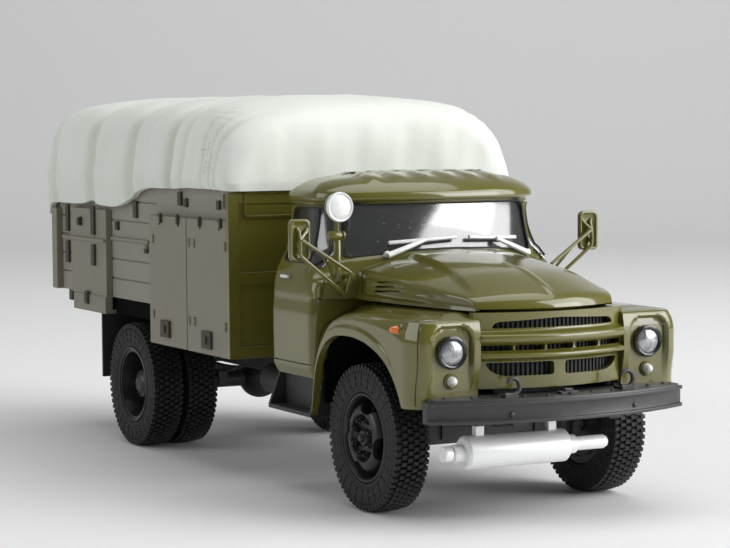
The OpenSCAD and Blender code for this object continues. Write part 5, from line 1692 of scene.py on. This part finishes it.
@dataclass
class Details:
    """Small fittings on the bumper, fenders and body."""

    body_half: float = 28
    # Nose of the bumper from the front axle, radius of its bow, and radii to its bolts and rivets.
    nose: float = 27.4
    bow_r: float = 51
    bolt_r: float = 50.5
    rivet_r: float = 50.2
    bolt_y: Sequence[float] = (-10.9, 11.4)
    bolt: Table = ((0, -0.1), (0.42, -0.1), (0.42, 0.16), (0.28, 0.3), (0, 0.34))
    rivet: Table = ((0, -0.1), (0.3, -0.1), (0.3, 0.18), (0.2, 0.28), (0, 0.3))
    # Places of the locker hinges from the rear axle, their heights and their turned shape.
    hinge_x: Sequence[float] = (14.2, 31.0, 33.4, 46.8)
    hinge_z: Sequence[float] = (26.5, 40.5)
    hinge: Table = ((0, -0.8), (0.24, -0.8), (0.24, 0.8), (0, 0.8))
    # Columns: place of a latch plate from the rear axle, height, distance from the middle.
    latches: Table = (
        (20.1, 24.1, 28.5), (39, 23.6, 28.5), (-20.6, 27.3, 28.2), (-24.6, 42.3, 28.2), (-7.5, 42.0, 26.6),
        (7.3, 38.1, 26.6))
    # Places of the catches from the rear axle, and a catch's path along the truck and up.
    catches: Sequence[float] = (17.5, 26.3, 36.2, 44.6)
    catch: Table = ((-0.9, 44.8), (0.5, 44.9), (0.6, 44.6), (-0.1, 43.9), (-0.2, 43.2))
    # Near and far hook on the bumper, as width and height from the foot round the curl.
    curls: Table = (
        ((-11.0, 20.4), (-9.4, 20.3), (-8.5, 20.8), (-8.2, 21.6), (-8.5, 22.5), (-9.3, 23.0), (-10.1, 22.7),
         (-10.3, 22.1)),
        ((10.2, 20.4), (11.6, 20.3), (12.3, 20.8), (12.6, 21.6), (12.3, 22.5), (11.5, 23.0), (10.6, 22.8),
         (10.3, 22.3)))
    # Start and end of the walls of the near-black shade sheets from their axle along the truck, then across
    # it, then up.
    front_shade_sheet: Table = ((-13.5, 14, 13.3, 13.7, 15, 30), (-13.6, -13.2, 13.3, 23, 16, 23.3))
    rear_shade_sheet: Table = (
        (-10.5, 11.8, 13.2, 25.6, 26.6, 27.3), (-10.5, 11.8, 12.6, 13.2, 20.5, 27.3),
        (-10.5, 11.8, 25.4, 25.9, 24.7, 27.85))
    # Places of the left lamps from the front axle: headlamp, parking lamp, indicator and its lens.
    head_at: Sequence[float] = (19.3, 17.9, 26.9)
    park_at: Sequence[float] = (19.3, 17.9, 22.5)
    mark_at: Sequence[float] = (14.5, 23.75, 30.3)
    mark_lens_at: Sequence[float] = (14.5, 24.35, 30.3)
    # Radius and place along the axis of the lamps' turned shapes.
    head_rim: Table = ((1.9, 0.2), (2.5, 0.2), (2.6, 0.5), (2.5, 0.8), (2.25, 0.95), (2.02, 0.85), (1.9, 0.6))
    park_dish: Table = ((0.75, -0.1), (1.25, -0.1), (1.22, 0.22), (1.05, 0.36), (0.86, 0.28), (0.76, 0.1))
    mark_base: Table = ((0, 0), (0.95, 0), (0.95, 0.5), (0.75, 0.72), (0, 0.72))
    mark_lens: Table = ((0.62, 0), (0.66, 0.2), (0.6, 0.7), (0.42, 1.15), (0.2, 1.38), (0, 1.42))

    def bumper(self) -> None:
        """Makes the bumper's bolts, rivets and middle bracket."""
        draft = MeshDraft()
        centre = AT.front_x + self.nose - self.bow_r
        for y in self.bolt_y:
            x = centre + math.sqrt(self.bolt_r**2 - y * y)
            draft.lathe(self.bolt, (x, y, 17.7), (1, 0, 0), 12)
        for y in np.linspace(-20, 20, 11):
            x = centre + math.sqrt(self.rivet_r**2 - y * y) - 1.5
            draft.lathe(self.rivet, (x, y, 20.1), (0, 0, 1), 8)
        draft.box((AT.front_x + 23.6, -1.6, 20.05), (AT.front_x + 25.0, 1.6, 20.5))
        draft.box((AT.front_x + 23.9, -0.7, 20.5), (AT.front_x + 24.7, 0.7, 20.9))
        draft.place("bumper_bolts", Paint.BUMPER, "chassis_black", bevel=0.06)

    def hooks(self) -> None:
        """Makes the lockers' hinges, latch plates and catches."""
        draft = MeshDraft()
        for side, place, z in itertools.product(SIDES, self.hinge_x, self.hinge_z):
            draft.lathe(self.hinge, (AT.rear_x + place, side * (self.body_half + 0.1), z), (0, 0, 1), 8)
        draft.place("locker_hinges", Paint.DRAB, "body_drab")
        draft = MeshDraft()
        for side in SIDES:
            for place, z, face in self.latches:
                x = AT.rear_x + place
                draft.box((x - 0.6, side * face - 0.3, z - 0.7), (x + 0.6, side * face + 0.3, z + 0.7))
            for place in self.catches:
                x, y = AT.rear_x + place, side * (self.body_half + 0.05)
                draft.tube(np.array([(x + dx, y, z) for dx, z in self.catch]), 0.17, 8)
        draft.place("latch_handles", Paint.STRAP, "strap_brown", bevel=0.08)

    def tow_curls(self) -> None:
        """Makes the two hooks that curl up from the bumper's top."""
        draft = MeshDraft()
        x = AT.front_x + 23.6
        for curl in self.curls:
            path = np.array([(x, y, z) for y, z in curl])
            path = np.concatenate([[path[0]], rounded(path, 0.45, 4)[5:-5], [path[-1]]])
            draft.tube(path, np.linspace(0.46, 0.34, len(path)), 10)
            y = curl[0][0] + 0.5
            draft.box((x - 1.3, y - 1.0, 20.05), (x + 1.3, y + 1.3, 20.5))
        draft.place("tow_curls", Paint.BUMPER, "chassis_black", "tow_hooks")

    def wheel_house_shade(self) -> None:
        """Makes near-black sheets over the front and rear wheels that close the arches and paint the shade
        inside them.
        """
        draft = MeshDraft()
        x = np.linspace(-13, 15, 29)
        z = look(Fenders.lip, 1, x)
        arch = np.concatenate([np.stack([x, z + 1.2], -1), np.stack([x, z + 1.6], -1)[::-1]])
        for side in SIDES:
            draft.prism(arch + (AT.front_x, 0), 1, *sorted((side * 13.3, side * 23)))
            for axle, rows in ((AT.front_x, self.front_shade_sheet), (AT.rear_x, self.rear_shade_sheet)):
                for x0, x1, y0, y1, low, high in rows:
                    right, left = sorted((side * y0, side * y1))
                    draft.box((axle + x0, right, low), (axle + x1, left, high))
        draft.place("wheel_house_shade_sheets", Paint.SHADE_BLACK, "chassis_black", bevel=0.1)

    def wall_panel(self) -> None:
        """Makes the raised frame near the top of the front wall."""
        draft = MeshDraft()
        x, w, low, high, bar = AT.front_x - 40.1, 25.0, 45.6, 50.0, 0.32
        for y0, y1, z0, z1 in ((-w, w, low, low + bar), (-w, w, high - bar, high), (-w, bar - w, low, high),
                               (w - bar, w, low, high)):
            draft.box((x - 0.1, y0, z0), (x + 0.35, y1, z1))
        draft.place("wall_frame", Paint.OLIVE, "olive_gloss", bevel=0.06)

    def pair(self, profile: Table, at: Sequence[float], axis: Sequence[float], steps: int,
             hollow: bool = False) -> MeshDraft:
        """A turned shape on both sides of the truck.

        Args:
            profile: Radius and place along the axis.
            at: Where the left one's axis starts, from the front axle.
            axis: The left one's direction.
            steps: Pieces of a full turn.
            hollow: Whether the profile is a closed loop.

        Returns:
            The shapes' mesh.
        """
        draft = MeshDraft()
        for side in SIDES:
            middle = (AT.front_x + at[0], side * at[1], at[2])
            draft.lathe(profile, middle, (axis[0], side * axis[1], axis[2]), steps, hollow)
        return draft

    def lamps(self) -> None:
        """Makes the headlamps' rims and glasses, the parking lamps' dishes and the indicators."""
        ahead, out = (1, 0, 0), (0, 1, 0.0)
        rims = self.pair(self.head_rim, self.head_at, ahead, 48, True)
        rims.place("headlamp_rims", Paint.BEZEL, "chassis_black")
        glasses = self.pair(lens(1.96, 0.5, 0.55), self.head_at, ahead, 48)
        glasses.place("headlamp_glasses", Paint.LAMP, "lamp_glass", "headlamp_lenses")
        dishes = self.pair(self.park_dish, self.park_at, ahead, 32, True)
        dishes.place("lamp_dishes", Paint.OLIVE, "olive_gloss")
        bases = self.pair(self.mark_base, self.mark_at, out, 18)
        bases.place("indicator_bases", Paint.OLIVE, "olive_gloss")
        lenses = self.pair(self.mark_lens, self.mark_lens_at, (-0.25, 1, 0.05), 18)
        lenses.place("indicator_lenses", Paint.AMBER, "lamp_amber", "side_indicators")

    def build(self) -> None:
        """Makes all small fittings."""
        self.bumper()
        self.hooks()
        self.tow_curls()
        self.wheel_house_shade()
        self.wall_panel()
        self.lamps()


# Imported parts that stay, with their finish and the rounding of their edges.
KEPT: dict[Paint, Sequence[tuple[str, float]]] = {
    Paint.CHASSIS: (
        ("frame", 0.08), ("front_axle", 0.08), ("rear_axle", 0), ("leaf_springs", 0.05), ("engine", 0.15),
        ("drive_shaft", 0), ("fuel_tank", 0.1), ("air_receiver", 0.15), ("tow_hitch", 0),
        ("side_steps", 0.08), ("body_subframe", 0.08)),
    Paint.BEZEL: (("headlamp_bezels", 0),),
    Paint.BUMPER: (("front_bumper", 0.1),),
    Paint.SILVER: (("silencer", 0.08), ("door_handles", 0)),
    Paint.OLIVE: (("cab_floor", 0), ("front_wall", 0.08)),
    Paint.WHITE: (("parking_lamps", 0),),
    Paint.RED: (("tail_lamps", 0.1),),
    Paint.TRIM: (("seat", 0.4), ("dashboard", 0.3), ("steering_wheel", 0), ("grille_insert", 0)),
    Paint.BOARDS: (("bed_floor", 0.05), ("side_boards", 0.06), ("tailboard", 0.06)),
    Paint.DRAB: (("cabinets", 0.12), ("rear_lockers", 0.12)),
    Paint.STRAP: (("body_hardware", 0.1),),
    Paint.FLAP: (("mudflaps", 0.08),),
    Paint.STEEL: (("front_axle_pin", 0.1), ("rear_axle_pin", 0.1)),
    Paint.WHEEL: (("rear_wheel_right", 0.12), ("rear_wheel_left", 0.12)),
}


def dress_kept() -> None:
    """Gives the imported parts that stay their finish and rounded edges."""
    for paint, rows in KEPT.items():
        for node, bevel in rows:
            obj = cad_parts[node]
            obj.data.materials.clear()
            obj.data.materials.append(paint.value.material())
            if bevel:
                round_edges(obj, bevel, True)
            log.info("%s dressed as %s", node, paint.value.name)


@dataclass
class Stage:
    """Floor, lights and camera."""

    eye: tuple[float, float, float] = (318.96, -188.70, 62.48)
    yaw: float = 27.538
    pitch: float = 3.902
    roll: float = -0.402
    focal_px: float = 2279.24
    image_w: float = 730
    sensor: float = 36.0
    # Columns: name, place in metres, width in metres, power in watts.
    lamps: Sequence[tuple[str, Sequence[float], float, float]] = (
        ("key", (0.45, 0.52, 0.37), 0.64, 5.4), ("fill", (-0.2, -0.8, 0.42), 0.6, 2.3),
        ("top", (0.0, 0.1, 0.9), 0.8, 3.3), ("front", (0.60, 0.52, 0.2), 0.4, 1.6))
    sky: tuple[float, float, float, float] = (0.85, 0.86, 0.88, 1)
    sky_strength: float = 0.17
    # The floor's front edge, the bend's start and radius, the backdrop's height and half the width.
    floor_front: float = 900
    bend_x: float = -700
    bend_r: float = 300
    backdrop_z: float = 1500
    floor_half: float = 1600

    def floor(self) -> None:
        """Makes a pale floor that runs up into a backdrop."""
        a = np.radians(np.linspace(0, 90, 13))
        r = self.bend_r
        bend = [(self.bend_x - r * math.sin(t), r - r * math.cos(t)) for t in a]
        line = [(self.floor_front, 0), *bend, (self.bend_x - r, self.backdrop_z)]
        across = np.linspace(-self.floor_half, self.floor_half, 9)
        rows = np.array([[(x, y, z) for x, z in line] for y in across])
        turn = Matrix.Rotation(math.radians(-self.yaw), 3, "Z")
        rows = np.array([[turn @ Vector(p) for p in row] for row in rows])
        draft = MeshDraft()
        draft.sheet(rows)
        floor = draft.piece("studio_floor", Paint.FLOOR.value, 60, 0, False)

    def light(self, name: str, at: Sequence[float], size: float, power: float) -> None:
        """Adds a soft lamp that points at the truck.

        Args:
            name: The lamp's name.
            at: Its place in metres.
            size: Its width in metres.
            power: Its power in watts.
        """
        data = bpy.data.lights.new(name, "AREA")
        data.size, data.energy = size, power
        lamp = bpy.data.objects.new(name, data)
        lamp.location = at
        lamp.rotation_euler = (Vector((0, 0, 0.03)) - Vector(at)).to_track_quat("-Z", "Y").to_euler()
        bpy.context.scene.collection.objects.link(lamp)

    def lights(self) -> None:
        """Adds the studio lamps and the surroundings."""
        for row in self.lamps:
            self.light(*row)
        world = bpy.data.worlds.new("studio")
        world.use_nodes = True
        sky = world.node_tree.nodes["Background"].inputs
        sky["Color"].default_value, sky["Strength"].default_value = self.sky, self.sky_strength
        bpy.context.scene.world = world

    def camera(self) -> None:
        """Puts the camera where the photograph was taken."""
        yaw, pitch, roll = (math.radians(v) for v in (self.yaw, self.pitch, self.roll))
        ahead = Vector((-math.cos(yaw) * math.cos(pitch), math.sin(yaw) * math.cos(pitch), -math.sin(pitch)))
        right = ahead.cross(Vector((0, 0, 1))).normalized()
        up = right.cross(ahead)
        c, s = math.cos(roll), math.sin(roll)
        right, up = c * right + s * up, c * up - s * right
        data = bpy.data.cameras.new("camera")
        data.sensor_fit, data.sensor_width = "HORIZONTAL", self.sensor
        data.lens = self.focal_px / self.image_w * self.sensor
        data.clip_start, data.clip_end = 0.01, 20
        camera = bpy.data.objects.new("camera", data)
        place = Vector((self.eye[0] + AT.front_x, self.eye[1], self.eye[2])) * MM
        camera.matrix_world = Matrix.Translation(place) @ Matrix((right, up, -ahead)).transposed().to_4x4()
        bpy.context.scene.collection.objects.link(camera)
        bpy.context.scene.camera = camera

    def build(self) -> None:
        """Makes the whole stage."""
        self.floor()
        self.lights()
        self.camera()
        bpy.context.scene.view_settings.view_transform = "Standard"


def main() -> None:
    """Builds and dresses the truck, piece by piece."""
    logging.basicConfig(level=logging.INFO, format="%(message)s")
    Stage().build()
    cab = Cab()
    cab.build_shell()
    cab.build_glass()
    cab.build_seals()
    cab.build_fittings()
    Wipers().build(cab)
    Hood().build()
    Fenders().build()
    Grille().build()
    Cover().build()
    Wheels().build()
    Mirrors().build()
    Spotlight().build()
    Details().build()
    dress_kept()


if __name__ == "__main__":
    main()
